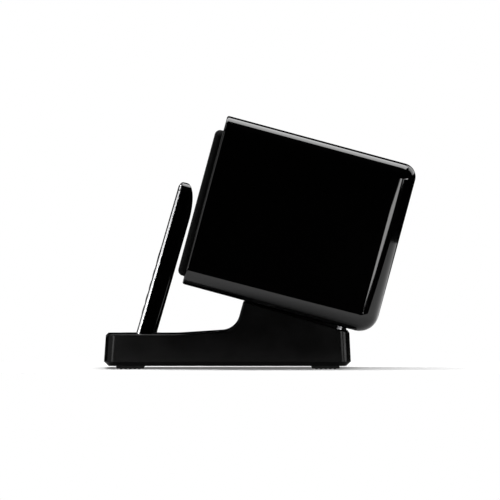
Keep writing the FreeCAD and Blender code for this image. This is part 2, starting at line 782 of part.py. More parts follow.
def amp_stands():
    return [(side * (amp_w / 2 - 6), y) for side in sides for y in (amp_y + 6, amp_y + amp_l - 7)]


def make_speaker_shell():
    outer = speaker_block(0, 0)
    outer = outer.makeFillet(rim_r, front_edges(outer, 0))
    cavity = speaker_block(speaker_wall, -5)
    shell = outer.cut(cavity)
    boss_y = baffle_recess + baffle_t
    bosses = [rod(x, boss_y, z, along_y, 5.0, 14) for x, z in baffle_screw_places()]
    bosses += [rod(x, y, 1, along_z, 3.0, amp_z - 1) for x, y in amp_stands()]
    top_z = speaker_h - speaker_wall - pack_drop
    bosses += [block(side * 30, pack_y + 4, top_z, 3, pack_size[1] - 8, pack_drop + 1) for side in sides]
    shell = fused([shell] + [boss.common(outer) for boss in bosses])
    for x, z in baffle_screw_places():
        shell = shell.cut(rod(x, boss_y - 1, z, along_y, screw_r, 11))
    for x, y in post_places():
        shell = shell.cut(rod(x, y, -1, along_z, post_r + key_clearance, 1 + post_engage + key_clearance))
    for x, y in contact_places():
        shell = shell.cut(rod(x, y, -1, along_z, 1.6, speaker_wall + 2))
    nodes["speaker_shell"] = placed(shell, speaker_frame)

    pads = [rod(x, y, 0.1, along_z, 1.6, speaker_wall) for x, y in contact_places()]
    nodes["contact_pads"] = placed(Part.makeCompound(pads), speaker_frame)


def make_baffle():
    cavity = speaker_block(speaker_wall + fit_clearance, -5)
    front = baffle_recess
    baffle = cavity.common(block(0, front, 0, speaker_w, baffle_t, speaker_h))
    centre_z = driver_z()
    baffle = baffle.cut(rod(0, 0, centre_z, along_y, driver_hole_r, 20))
    screws = []
    for x, z in baffle_screw_places():
        baffle = baffle.cut(rod(x, 0, z, along_y, screw_r, 20))
        baffle = baffle.cut(rod(x, 0, z, along_y, screw_head_r, front + screw_head_t))
        head = rod(x, front, z, along_y, screw_head_r, screw_head_t)
        screw = fused([head, rod(x, front, z, along_y, screw_r, 13)])
        screws.append(screw.cut(rod(x, 0, z, along_y, 1.0, front + 0.9)))
    driver_screws = []
    for x, z in driver_screw_places():
        baffle = baffle.cut(rod(x, 0, z, along_y, 1.2, 20))
        head = rod(x, front - flange_t - 1.0, z, along_y, 2.0, 1.0)
        driver_screws.append(fused([head, rod(x, front - flange_t, z, along_y, 1.2, 9)]))
    for x, z in peg_places():
        baffle = baffle.cut(rod(x, 0, z, along_y, 1.5, 20))
    nodes["speaker_baffle"] = placed(baffle, speaker_frame)
    nodes["baffle_screws"] = placed(Part.makeCompound(screws), speaker_frame)
    nodes["driver_screws"] = placed(Part.makeCompound(driver_screws), speaker_frame)


def driver_z():
    return (speaker_h - grille_top_margin + grille_bottom_margin) / 2


def driver_screw_places():
    reach = (driver_r - 2.1) * math.sqrt(0.5)
    return [(side * reach, driver_z() + lift * reach) for side in sides for lift in sides]


def peg_places():
    side_x = speaker_w / 2 - grille_side_margin - mesh_t - grille_frame_wall / 2 - 0.6
    low_z = grille_bottom_margin + 20.0
    high_z = speaker_h - grille_top_margin - 20.0
    return [(side * side_x, z) for side in sides for z in (low_z, high_z)]


def make_grille():
    outer = grille_block(0, -grille_proud, baffle_recess)
    outer = outer.makeFillet(grille_edge_r, front_edges(outer, -grille_proud))
    core = grille_block(mesh_t, mesh_t - grille_proud, baffle_recess + 1)
    core = core.makeFillet(grille_edge_r - mesh_t, front_edges(core, mesh_t - grille_proud))
    nodes["grille_mesh"] = placed(outer.cut(core), speaker_frame)

    frame = core.common(grille_block(0, -grille_proud, baffle_recess))
    frame = frame.cut(grille_block(mesh_t + grille_frame_wall, -20, 20))
    pegs = [rod(x, baffle_recess - 2, z, along_y, 1.5, baffle_t + 2) for x, z in peg_places()]
    nodes["grille_frame"] = placed(fused([frame] + pegs), speaker_frame)


def make_driver():
    z = driver_z()
    front = baffle_recess - flange_t
    flange_mid = Vector(0, front, z)
    flange = ring(flange_mid, along_y, driver_r, roll_mid_r + roll_r - 1.0, flange_t)
    for x, screw_z in driver_screw_places():
        flange = flange.cut(rod(x, front - 1, screw_z, along_y, 1.2, flange_t + 2))
    skirt_r = driver_hole_r - 0.5
    skirt_l = basket_depth - flange_t
    skirt = Part.makeCone(skirt_r, basket_rear_r, skirt_l, flange_mid, along_y)
    inside = Part.makeCone(skirt_r - basket_t, basket_rear_r - basket_t, skirt_l, flange_mid, along_y)
    skirt = skirt.cut(inside)
    window = block(0, front + 8, z - 60, 26, skirt_l - 14, 120)
    windows = [window, window.rotated(Vector(0, 0, z), along_y, 90)]
    skirt = skirt.cut(windows)
    magnet_y = front + skirt_l + 2
    hub = ring(Vector(0, front + skirt_l, z), along_y, basket_rear_r, coil_r + coil_gap + 1.0, 2)
    nodes["driver_basket"] = placed(fused([flange, skirt, hub]), speaker_frame)

    pole_r = coil_r - coil_wall / 2 - coil_gap
    gap_r = coil_r + coil_wall / 2 + coil_gap
    plate = ring(Vector(0, magnet_y, z), along_y, magnet_r - 4, gap_r, 3)
    magnet = ring(Vector(0, magnet_y + 3, z), along_y, magnet_r, gap_r + 1, magnet_t - 7)
    back = rod(0, magnet_y + magnet_t - 4, z, along_y, magnet_r, 4)
    pole = rod(0, magnet_y, z, along_y, pole_r, magnet_t)
    nodes["driver_magnet"] = placed(fused([plate, magnet, back, pole]), speaker_frame)

    roll = Part.makeTorus(roll_mid_r, roll_r, flange_mid, along_y)
    roll = roll.cut(Part.makeTorus(roll_mid_r, roll_r - roll_t, flange_mid, along_y))
    roll = roll.common(rod(0, front - 10, z, along_y, driver_r, 10))
    lip = ring(Vector(0, front - roll_t, z), along_y, driver_r - 4.3, roll_mid_r + roll_r - roll_t, roll_t)
    nodes["driver_surround"] = placed(fused([roll, lip]), speaker_frame)

    cone_r = roll_mid_r - roll_r - cone_clearance
    cone_y = front - 0.2
    cone_l = 14.0
    cone_front = Vector(0, cone_y, z)
    coil_outer = coil_r + coil_wall / 2
    cone = Part.makeCone(cone_r, coil_outer, cone_l, cone_front, along_y)
    hollow = Part.makeCone(cone_r, coil_outer, cone_l, cone_front - along_y * cone_t * 1.6, along_y)
    cone = cone.cut(hollow).cut(rod(0, cone_y - 1, z, along_y, coil_outer, cone_l + 3))
    nodes["driver_cone"] = placed(cone, speaker_frame)
    coil_y = cone_y + cone_l - 3
    coil = ring(Vector(0, coil_y, z), along_y, coil_outer, coil_outer - coil_wall, magnet_y + 6 - coil_y)
    nodes["voice_coil"] = placed(coil, speaker_frame)
    cap_r = 18.0
    cap_mid = Vector(0, coil_y - 4.0 + cap_r, z)
    cap = Part.makeSphere(cap_r, cap_mid).cut(Part.makeSphere(cap_r - cone_t, cap_mid))
    cap = cap.common(rod(0, coil_y - 8, z, along_y, coil_outer, 8))
    nodes["dust_cap"] = placed(cap, speaker_frame)


def make_speaker_inside():
    board = rounded(block(0, amp_y, amp_z, amp_w, amp_l, pcb_t), along_z, 2.0)
    nodes["amp_board"] = placed(board, speaker_frame)
    top_z = amp_z + pcb_t
    fins = [block(-30 + step * 4, amp_y + 8, top_z + 3, 1.5, 30, 10) for step in range(7)]
    sink = fused([block(-18, amp_y + 8, top_z, 27, 30, 3.2)] + fins)
    parts = [
        sink,
        rod(12, amp_y + 16, top_z, along_z, 5.0, 16),
        rod(24, amp_y + 16, top_z, along_z, 5.0, 16),
        rod(14, amp_y + 34, top_z, along_z, 6.5, 8),
        block(36, amp_y + 46, top_z, 14, 14, 1.4),
        block(-14, amp_y + 54, top_z, 26, 12, 3.0),
        block(12, amp_y + 56, top_z, 12, 6, 6),
    ]
    nodes["amp_board_parts"] = placed(Part.makeCompound(parts), speaker_frame)

    pack_w, pack_l, pack_h = pack_size
    pack_z = speaker_h - speaker_wall - pack_drop - pack_h
    pack = rounded(block(0, pack_y, pack_z, pack_w, pack_l, pack_h), along_x, 9.0)
    nodes["speaker_battery"] = placed(pack, speaker_frame)


drawing = FreeCAD.newDocument("phone")
base_outside = base_outer()
make_base_shell(base_outside)
make_base_plate()
make_base_inside()
make_cradle()
make_base_controls(base_outside)
make_seat()
make_speaker_shell()
make_baffle()
make_grille()
make_driver()
make_speaker_inside()
make_handset()

os.makedirs("parts", exist_ok=True)
for name, shape in nodes.items():
    shape.exportStep("parts/" + name + ".step")
    state = "valid" if shape.isValid() else "INVALID"
    print(name, len(shape.Solids), "solids", round(shape.Volume, 1), "mm3", state)
whole = Part.makeCompound(list(nodes.values())).optimalBoundingBox()
print(len(nodes), "nodes", whole)
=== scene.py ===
import json
import math

import bmesh
import bpy
from mathutils import Matrix, Vector


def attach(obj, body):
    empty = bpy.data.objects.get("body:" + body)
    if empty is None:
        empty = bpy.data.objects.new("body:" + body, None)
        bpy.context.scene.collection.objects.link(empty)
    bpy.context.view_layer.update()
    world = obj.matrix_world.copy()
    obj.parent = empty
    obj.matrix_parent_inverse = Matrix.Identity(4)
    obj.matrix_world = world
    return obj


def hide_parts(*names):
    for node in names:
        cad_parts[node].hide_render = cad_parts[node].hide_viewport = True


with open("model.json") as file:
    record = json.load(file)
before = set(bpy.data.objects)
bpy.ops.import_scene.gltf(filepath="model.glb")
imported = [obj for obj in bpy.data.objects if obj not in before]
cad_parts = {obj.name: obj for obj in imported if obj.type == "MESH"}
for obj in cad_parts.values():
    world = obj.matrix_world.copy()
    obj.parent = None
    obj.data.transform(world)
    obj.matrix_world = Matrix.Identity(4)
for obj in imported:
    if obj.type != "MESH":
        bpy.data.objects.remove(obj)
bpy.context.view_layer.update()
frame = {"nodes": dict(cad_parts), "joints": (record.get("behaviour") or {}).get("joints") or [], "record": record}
cadNodes = frame["nodes"]
joints = {joint["name"]: joint for joint in frame["joints"]}
bodyOf = {node: body for body, nodes in frame["record"]["behaviour"]["bodies"].items() for node in nodes}
slotOf = {row["node"]: row["material_slot"] for row in frame["record"]["subparts"]}
mm = 0.001


# Leaned frames: x to the side, y towards the back, z along the way the piece lifts off

def leanedFrame(jointName):
    up = Vector(joints[jointName]["axis"]).normalized()
    side = Vector((1, 0, 0))
    back = up.cross(side)
    return Matrix((side, back, up)).transposed().to_4x4()


def boxIn(lean, *nodes):
    # lowest and highest corner of CAD nodes, measured in a leaned frame
    toLean = lean.inverted()
    points = [toLean @ vertex.co for node in nodes for vertex in cadNodes[node].data.vertices]
    low = Vector([min(point[i] for point in points) for i in range(3)])
    high = Vector([max(point[i] for point in points) for i in range(3)])
    return low, high


level = Matrix.Identity(4)
upsideDown = Matrix.Rotation(math.pi, 4, "X")
tilt = leanedFrame("speaker_lift")
lean = leanedFrame("handset_lift")
tiltAngle = math.atan2(tilt[1][2], tilt[2][2])
leanAngle = math.atan2(lean[1][2], lean[2][2])
frontY = boxIn(lean, "front_cover")[0].y  # the face of the handset


# Materials: a socket that takes part in sums, and a sheet of nodes

class Wire:
    def __init__(self, sheet, socket):
        self.sheet = sheet
        self.socket = socket

    def sums(self, operation, first, second):
        return self.sheet.node("ShaderNodeMath", {"operation": operation}, {0: first, 1: second})

    def __add__(self, other):
        return self.sums("ADD", self, other)

    def __mul__(self, other):
        return self.sums("MULTIPLY", self, other)

    def __abs__(self):
        return self.sums("ABSOLUTE", self, 0.0)

    def __gt__(self, other):
        return self.sums("GREATER_THAN", self, other)

    def __lt__(self, other):
        return self.sums("LESS_THAN", self, other)

    __radd__ = __add__
    __rmul__ = __mul__


class Sheet:
    def __init__(self, name, **finish):
        self.material = bpy.data.materials.new(name)
        self.material.use_nodes = True
        self.tree = self.material.node_tree
        self.tree.nodes.clear()
        self.shader = self.tree.nodes.new("ShaderNodeBsdfPrincipled")
        output = self.tree.nodes.new("ShaderNodeOutputMaterial")
        self.tree.links.new(self.shader.outputs[0], output.inputs["Surface"])
        for socketName, value in finish.items():
            self.feed(self.shader.inputs[socketName.replace("_", " ")], value)

    def node(self, kind, settings=None, sockets=None, output=0):
        made = self.tree.nodes.new(kind)
        for name, value in (settings or {}).items():
            setattr(made, name, value)
        for name, value in (sockets or {}).items():
            self.feed(made.inputs[name], value)
        return Wire(self, made.outputs[output])

    def feed(self, socket, value):
        if isinstance(value, Wire):
            self.tree.links.new(value.socket, socket)
        else:
            socket.default_value = value

    def place(self, turn=0.0):
        # object coordinates in metres, turned back by the lean of the piece
        coordinates = self.node("ShaderNodeTexCoord", output="Object")
        sockets = {"Vector": coordinates, "Rotation": (turn, 0, 0)}
        return self.node("ShaderNodeMapping", {"vector_type": "POINT"}, sockets)

    def part(self, vector, axis):
        return self.node("ShaderNodeSeparateXYZ", sockets={"Vector": vector}, output=axis)

    def noise(self, vector, scale, detail=2.0, roughness=0.5):
        sockets = {"Vector": vector, "Scale": scale, "Detail": detail, "Roughness": roughness}
        return self.node("ShaderNodeTexNoise", sockets=sockets, output="Fac")

    def cells(self, vector, scale, output):
        sockets = {"Vector": vector, "Scale": scale}
        return self.node("ShaderNodeTexVoronoi", {"feature": "F1"}, sockets, output)

    def wave(self, angle):
        return self.node("ShaderNodeMath", {"operation": "SINE"}, {0: angle})

    def tint(self, mask, low, high):
        # a colour between two, by a mask
        low = low if isinstance(low, Wire) else (*low, 1.0)
        sockets = {0: mask, 6: low, 7: (*high, 1.0)}
        return self.node("ShaderNodeMix", {"data_type": "RGBA"}, sockets, output=2)

    def between(self, mask, low, high):
        return low + mask * (high - low)

    def bump(self, height, strength, distance):
        sockets = {"Height": height, "Strength": strength, "Distance": distance}
        self.feed(self.shader.inputs["Normal"], self.node("ShaderNodeBump", sockets=sockets))

    def set(self, **links):
        for socketName, value in links.items():
            self.feed(self.shader.inputs[socketName.replace("_", " ")], value)
        return self.material


def glossPlastic(name, turn, colour=(0.0012, 0.0012, 0.0013)):
    # piano black: a hard clear skin with faint wipe marks and a little dust
    sheet = Sheet(name, IOR=1.46)
    spot = sheet.place(turn)
    wipe = sheet.noise(spot, 26.0, 4.0, 0.6)
    fine = sheet.noise(spot, 900.0, 2.0)
    dust = (sheet.noise(spot, 2600.0, 1.0) > 0.80) * 0.6
    sheet.bump(fine, 0.04, 0.00002)
    rough = sheet.between(wipe, 0.02, 0.07)
    return sheet.set(Base_Color=sheet.tint(dust, colour, (0.03, 0.03, 0.03)), Roughness=rough)


def satinPlastic(name, turn, colour, lift=0.02, rough=0.42, grain=2400.0, shine=0.5, relief=0.35):
    # spark-eroded moulding: fine grain, slightly uneven sheen
    sheet = Sheet(name, IOR=1.46, Specular_IOR_Level=shine)
    spot = sheet.place(turn)
    coarse = sheet.noise(spot, 45.0, 3.0)
    fine = sheet.noise(spot, grain, 3.0, 0.65)
    sheet.bump(fine, relief, 0.00006)
    light = tuple(part + lift for part in colour)
    mask = coarse * 0.5 + fine * 0.5
    return sheet.set(Base_Color=sheet.tint(mask, colour, light),
                     Roughness=sheet.between(coarse, rough - 0.06, rough + 0.08))


def rubber(name, turn, colour=(0.012, 0.012, 0.012)):
    sheet = Sheet(name, IOR=1.45)
    spot = sheet.place(turn)
    fine = sheet.noise(spot, 1500.0, 4.0, 0.7)
    worn = sheet.noise(spot, 120.0, 3.0)
    sheet.bump(fine, 0.5, 0.0001)
    lighter = tuple(part * 2.2 for part in colour)
    return sheet.set(Base_Color=sheet.tint(worn, colour, lighter),
                     Roughness=sheet.between(worn, 0.7, 0.9))


def metal(name, turn, colour, rough, stretch=(1.0, 60.0, 60.0), scratch=0.15):
    # drawn or brushed metal: streaks along the first axis
    sheet = Sheet(name, Metallic=1.0)
    spot = sheet.place(turn)
    streak = sheet.node("ShaderNodeVectorMath", {"operation": "MULTIPLY"}, {0: spot, 1: stretch})
    lines = sheet.noise(streak, 90.0, 3.0)
    blotch = sheet.noise(spot, 60.0, 3.0)
    sheet.bump(lines, scratch, 0.00002)
    darker = tuple(part * 0.86 for part in colour)
    mask = lines * 0.6 + blotch * 0.4
    return sheet.set(Base_Color=sheet.tint(mask, darker, colour),
                     Roughness=sheet.between(mask, rough - 0.04, rough + 0.06))


def circuitBoard(name, turn):
    sheet = Sheet(name, IOR=1.5)
    spot = sheet.place(turn)
    brick = {"Vector": spot, "Scale": 130.0, "Mortar Size": 0.03}
    tracks = sheet.node("ShaderNodeTexBrick", {"offset": 0.4}, brick, output="Fac")
    pads = sheet.cells(spot, 420.0, "Distance") < 0.18
    green = sheet.tint(tracks, (0.005, 0.06, 0.025), (0.01, 0.14, 0.06))
    colour = sheet.tint(pads, green, (0.7, 0.55, 0.25))
    sheet.bump(tracks, 0.3, 0.00003)
    return sheet.set(Base_Color=colour, Roughness=sheet.between(pads, 0.42, 0.25), Metallic=pads * 1.0)


def boardPackages(name, turn):
    # black chips, silvered cans and printed sleeves, told apart by where they stand
    sheet = Sheet(name, IOR=1.5)
    spot = sheet.place(turn)
    pick = sheet.part(sheet.cells(spot, 45.0, "Color"), 0) > 0.62
    fine = sheet.noise(spot, 1800.0, 2.0)
    sheet.bump(fine, 0.2, 0.00004)
    return sheet.set(Base_Color=sheet.tint(pick, (0.02, 0.02, 0.022), (0.62, 0.63, 0.64)),
                     Roughness=sheet.between(fine, 0.3, 0.5), Metallic=pick * 1.0)


def grilleCloth(name, turn, yarn=0.9):
    # plain weave of thin round yarns
    sheet = Sheet(name, IOR=1.3, Specular_IOR_Level=0.15)
    spot = sheet.place(turn)
    pitch = 2 * math.pi / (yarn * mm)
    across, depth, height = (sheet.wave(sheet.part(spot, axis) * pitch) for axis in range(3))
    weave = abs(across * height) * 0.7 + abs(depth * height) * 0.3
    sheet.bump(weave, 0.8, 0.0003)
    fuzz = sheet.noise(spot, 300.0, 3.0)
    mask = weave * 0.7 + fuzz * 0.3
    return sheet.set(Base_Color=sheet.tint(mask, (0.001, 0.001, 0.001), (0.012, 0.012, 0.012)),
                     Roughness=sheet.between(mask, 0.75, 0.55))


def panelGlass(name, turn):
    # black-printed front panel with finger marks
    sheet = Sheet(name, IOR=1.5)
    spot = sheet.place(turn)
    marks = sheet.noise(spot, 55.0, 5.0, 0.7)
    fine = sheet.noise(spot, 1400.0, 2.0)
    sheet.bump(fine, 0.03, 0.00002)
    return sheet.set(Base_Color=sheet.tint(marks, (0.003, 0.003, 0.004), (0.006, 0.006, 0.007)),
                     Roughness=sheet.between(marks, 0.015, 0.10))


def wrapFilm(name, turn, colour):
    sheet = Sheet(name, IOR=1.5)
    spot = sheet.place(turn)
    crinkle = sheet.noise(spot, 220.0, 3.0, 0.6)
    sheet.bump(crinkle, 0.3, 0.0001)
    lighter = tuple(part * 1.5 for part in colour)
    return sheet.set(Base_Color=sheet.tint(crinkle, colour, lighter),
                     Roughness=sheet.between(crinkle, 0.25, 0.4))


def lightLens(name):
    sheet = Sheet(name, IOR=1.49, Emission_Strength=0.6)
    spot = sheet.place()
    haze = sheet.noise(spot, 900.0, 2.0)
    glow = sheet.tint(haze, (0.1, 0.9, 0.35), (0.3, 1.0, 0.5))
    return sheet.set(Base_Color=sheet.tint(haze, (0.6, 0.75, 0.65), (0.8, 0.9, 0.8)),
                     Roughness=sheet.between(haze, 0.2, 0.35), Emission_Color=glow)


finishes = {
    "base_plastic": satinPlastic("baseSatin", 0.0, (0.0012, 0.0012, 0.0012), 0.002, 0.17, 2400.0, 0.16, 0.08),
    "rubber": rubber("blackRubber", 0.0),
    "screw_steel": metal("zincScrews", 0.0, (0.55, 0.55, 0.57), 0.32),
    "steel_plate": metal("plainSteel", 0.0, (0.5, 0.5, 0.52), 0.38),
    "circuit_board": circuitBoard("greenBoard", 0.0),
    "board_parts": boardPackages("packages", 0.0),
    "inner_plastic": satinPlastic("innerPlastic", 0.0, (0.012, 0.012, 0.012), 0.012, 0.5),
    "contact_metal": metal("goldContacts", 0.0, (0.83, 0.62, 0.28), 0.22),
    "light_lens": lightLens("statusLens"),
    "post_chrome": metal("polishedPosts", 0.0, (0.82, 0.82, 0.84), 0.12),
    "gloss_shell": glossPlastic("pianoBlack", -tiltAngle),
    "grille_cloth": grilleCloth("grilleCloth", -tiltAngle),
    "magnet_iron": metal("ferrite", 0.0, (0.12, 0.12, 0.125), 0.5),
    "cone_paper": satinPlastic("coatedPaper", 0.0, (0.02, 0.02, 0.02), 0.03, 0.7, 500.0),
    "coil_copper": metal("copperWire", 0.0, (0.72, 0.34, 0.18), 0.3, (60.0, 1.0, 60.0)),
    "battery_wrap": wrapFilm("batteryWrap", 0.0, (0.02, 0.06, 0.16)),
    "bezel_metal": metal("polishedBezel", -leanAngle, (0.95, 0.95, 0.96), 0.2, (60.0, 60.0, 1.0), 0.05),
    "cover_glass": panelGlass("frontPanel", -leanAngle),
    "display_glass": panelGlass("displayGlass", -leanAngle),
    "key_plastic": satinPlastic("keySatin", -leanAngle, (0.018, 0.018, 0.019), 0.012, 0.38),
}


blackZinc = metal("blackZinc", 0.0, (0.02, 0.02, 0.022), 0.4)


def printInk(name, colour):
    # screen-printed ink with slightly uneven cover
    sheet = Sheet(name, IOR=1.45)
    spot = sheet.place(-leanAngle)
    cover = sheet.noise(spot, 1600.0, 2.0)
    thinner = tuple(part * 0.8 for part in colour)
    return sheet.set(Base_Color=sheet.tint(cover, thinner, colour), Roughness=sheet.between(cover, 0.4, 0.55))


keyInks = {
    "white": printInk("whiteInk", (0.8, 0.8, 0.8)),
    "green": printInk("greenInk", (0.05, 0.5, 0.12)),
    "red": printInk("redInk", (0.6, 0.04, 0.03)),
    "dark": printInk("darkInk", (0.02, 0.02, 0.02)),
}
for row in frame["record"]["subparts"]:
    node = cadNodes[row["node"]]
    for materialSlot in node.material_slots:
        materialSlot.material = finishes[row["material_slot"]]
print("materials done")


# Pieces: a bmesh drawn in the frame of its place, then moved into the model's own frame

def makePiece(shape, name, body, slot, place=level, standsFor=(), moreFinishes=(), sharpAngle=32.0,
              ownFinish=None):
    bmesh.ops.transform(shape, matrix=place, verts=shape.verts)
    mesh = bpy.data.meshes.new(name)
    shape.to_mesh(mesh)
    shape.free()
    if "custom_normal" in mesh.attributes:
        mesh.attributes.remove(mesh.attributes["custom_normal"])
    mesh.shade_smooth()
    mesh.set_sharp_from_angle(angle=math.radians(sharpAngle))
    for finish in (ownFinish or finishes[slot], *moreFinishes):
        mesh.materials.append(finish)
    piece = bpy.data.objects.new(name, mesh)
    bpy.context.scene.collection.objects.link(piece)
    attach(piece, body)
    if standsFor:
        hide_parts(*standsFor)
    return piece


def addModifier(piece, kind, **settings):
    modifier = piece.modifiers.new(kind.lower(), kind)
    for name, value in settings.items():
        setattr(modifier, name, value)


def cubeBetween(shape, low, high):
    # a block from its lowest to its highest corner; returns its new vertices
    size = Vector(high) - Vector(low)
    middle = (Vector(high) + Vector(low)) / 2
    made = bmesh.ops.create_cube(shape, size=1.0)["verts"]
    bmesh.ops.scale(shape, vec=size, verts=made)
    bmesh.ops.translate(shape, vec=middle, verts=made)
    return made


def bevelled(shape, edges, width, segments=3):
    bmesh.ops.bevel(shape, geom=edges, offset=width, offset_type="OFFSET", segments=segments, profile=0.5,
                    affect="EDGES", material=-1, clamp_overlap=False)


def edgesOf(verts):
    return list({edge for vert in verts for edge in vert.link_edges})


def vertsIn(geometry):
    return [item for item in geometry if isinstance(item, bmesh.types.BMVert)]


def openEdges(geometry):
    return [item for item in geometry if isinstance(item, bmesh.types.BMEdge) and item.is_boundary]


def roundTurn(shape, geometry, centre, angle, steps, merge=False):
    # carries geometry round an upright axis
    return bmesh.ops.spin(shape, geom=geometry, cent=centre, axis=(0, 0, 1), dvec=(0, 0, 0), angle=angle,
                          steps=steps, use_merge=merge)


def uprightEdges(verts):
    runs = {edge: edge.verts[1].co - edge.verts[0].co for edge in edgesOf(verts)}
    return [edge for edge, run in runs.items() if abs(run.z) > 0.99 * run.length]


def softBlock(low, high, cornerRadius, rimRadius, cornerSteps=6):
    # a block with its upright corners rounded, then its rims
    shape = bmesh.new()
    bevelled(shape, uprightEdges(cubeBetween(shape, low, high)), cornerRadius, cornerSteps)
    rims = [edge for edge in shape.edges if edge.calc_face_angle() > math.radians(60)]
    bevelled(shape, rims, rimRadius, 2)
    return shape


def turnedShape(outline, steps=32):
    # an outline of (radius, height) points turned once round the upright axis
    shape = bmesh.new()
    verts = [shape.verts.new((radius, 0, height)) for radius, height in outline]
    edges = [shape.edges.new(pair) for pair in zip(verts, verts[1:])]
    roundTurn(shape, verts + edges, (0, 0, 0), 2 * math.pi, steps, True)
    bmesh.ops.remove_doubles(shape, verts=shape.verts, dist=0.000001)
    bmesh.ops.recalc_face_normals(shape, faces=shape.faces)
    return shape


def addShape(target, source, place=level, finish=0):
    # joins a second bmesh into the first
    bmesh.ops.transform(source, matrix=place, verts=source.verts)
    for face in source.faces:
        face.material_index = finish
    mesh = bpy.data.meshes.new("part")
    source.to_mesh(mesh)
    source.free()
    target.from_mesh(mesh)
    bpy.data.meshes.remove(mesh)


def textShape(text, size, depth):
    # raised lettering, flat on its own x and y
    curve = bpy.data.curves.new("lettering", "FONT")
    curve.body = text
    curve.size = size
    curve.align_x = "CENTER"
    curve.align_y = "CENTER"
    curve.extrude = depth / 2
    curve.resolution_u = 3
    holder = bpy.data.objects.new("lettering", curve)
    mesh = bpy.data.meshes.new_from_object(holder)
    shape = bmesh.new()
    shape.from_mesh(mesh)
    bmesh.ops.remove_doubles(shape, verts=shape.verts, dist=0.0000005)
    bpy.data.objects.remove(holder)
    bpy.data.curves.remove(curve)
    bpy.data.meshes.remove(mesh)
    return shape


def facing(x, y, z):
    # a place in a leaned frame whose own z looks out of the front
    return Matrix.Translation((x, y, z)) @ Matrix.Rotation(math.pi / 2, 4, "X")


# CAD pieces whose sharp edges get the small rounds that a mould or a press leaves

softEdges = {
    "base_shell": 0.22, "base_plate": 0.3, "cradle_insert": 0.2, "front_cover": 0.16,
    "volume_rocker": 0.2, "line_socket": 0.2, "power_socket": 0.2, "seat_pad": 0.3, "cradle_contacts": 0.15,
}


def softened(node, width):
    shape = bmesh.new()
    shape.from_mesh(cadNodes[node].data)
    bmesh.ops.remove_doubles(shape, verts=shape.verts, dist=0.000002)
    bmesh.ops.dissolve_limit(shape, angle_limit=math.radians(0.3), verts=shape.verts, edges=shape.edges)
    sharp = [edge for edge in shape.edges if edge.calc_face_angle(0.0) > math.radians(30)]
    bevelled(shape, sharp, width * mm, 2)
    words = node.split("_")
    name = words[0] + "".join(word.capitalize() for word in words[1:])
    piece = makePiece(shape, name, bodyOf[node], slotOf[node], standsFor=(node,))
    addModifier(piece, "WEIGHTED_NORMAL", keep_sharp=True, weight=50)


for node, width in softEdges.items():
    softened(node, width)
print("edges softened")


# Bezel: a polished band round the handset, a little prouder at the back than at the front

# cap: how far down from the top of the band the painted dark reflection reaches
bezelSizes = {"corner": 7.0, "topRound": 4.0, "steps": 12, "cap": 3.0, "proud": 0.25,
              "section": ((-1.6, 0.7), (-0.25, 0.7), (0.0, 1.0), (0.14, 1.35), (0.25, 1.8), (0.3, 2.15),
                          (0.24, 2.3), (-1.6, 2.3))}


def sweptBand(section, wide, tall, radius, steps):
    # a closed section carried round a rounded rectangle, from half way up its right side
    shape = bmesh.new()
    verts = [shape.verts.new((wide / 2 + out, 0, height)) for out, height in section]
    edges = [shape.edges.new(pair) for pair in zip(verts, verts[1:] + verts[:1])]
    middleX, middleY = wide / 2 - radius, tall / 2 - radius
    runs = [((0, middleY), (middleX, middleY)), ((-2 * middleX, 0), (-middleX, middleY)),
            ((0, -2 * middleY), (-middleX, -middleY)), ((2 * middleX, 0), (middleX, -middleY)),
            ((0, middleY), None)]
    for run, centre in runs:
        pulled = bmesh.ops.extrude_edge_only(shape, edges=edges)["geom"]
        verts, edges = vertsIn(pulled), openEdges(pulled)
        bmesh.ops.translate(shape, vec=(*run, 0), verts=verts)
        if centre:
            made = roundTurn(shape, verts + edges, (*centre, 0), math.pi / 2, steps)["geom_last"]
            edges = [item for item in made if isinstance(item, bmesh.types.BMEdge)]
    bmesh.ops.remove_doubles(shape, verts=shape.verts, dist=0.000005)
    bmesh.ops.recalc_face_normals(shape, faces=shape.faces)
    return shape


def makeBezel():
    low, high = boxIn(lean, "handset_back")
    wide, tall = high.x - low.x, high.z - low.z
    section = [(out * mm, -height * mm) for out, height in bezelSizes["section"]]
    shape = sweptBand(section, wide, tall, bezelSizes["corner"] * mm, bezelSizes["steps"])
    # the top of the handset is rounded towards the front, and the band follows it
    topRound = bezelSizes["topRound"] * mm
    for vert in shape.verts:
        drop = topRound - math.sqrt(topRound ** 2 - (topRound + vert.co.z) ** 2)
        vert.co.y = min(vert.co.y, tall / 2 - drop + bezelSizes["proud"] * mm)
    bmesh.ops.remove_doubles(shape, verts=shape.verts, dist=0.000002)
    # painted dark reflection: the faces at the top of the band take the black plastic finish, so the top stays
    # black where the polished metal would mirror the overhead light
    for face in shape.faces:
        if face.calc_center_median().y > tall / 2 - bezelSizes["cap"] * mm:
            face.material_index = 1
    place = lean @ facing((low.x + high.x) / 2, frontY, (low.z + high.z) / 2)
    # the second finish, black plastic, is the painted dark reflection at the top of the band
    makePiece(shape, "handsetBezel", "handset", "bezel_metal", place, ("handset_bezel",),
              (finishes["base_plastic"],), sharpAngle=45)


makeBezel()


# Loudspeaker cloth: one woven sheet bent round the edges of its frame

clothSizes = {"pitch": 1.4, "relief": 0.14, "edgeRound": 3.8, "cornerRound": 5.0, "thickness": 0.6}


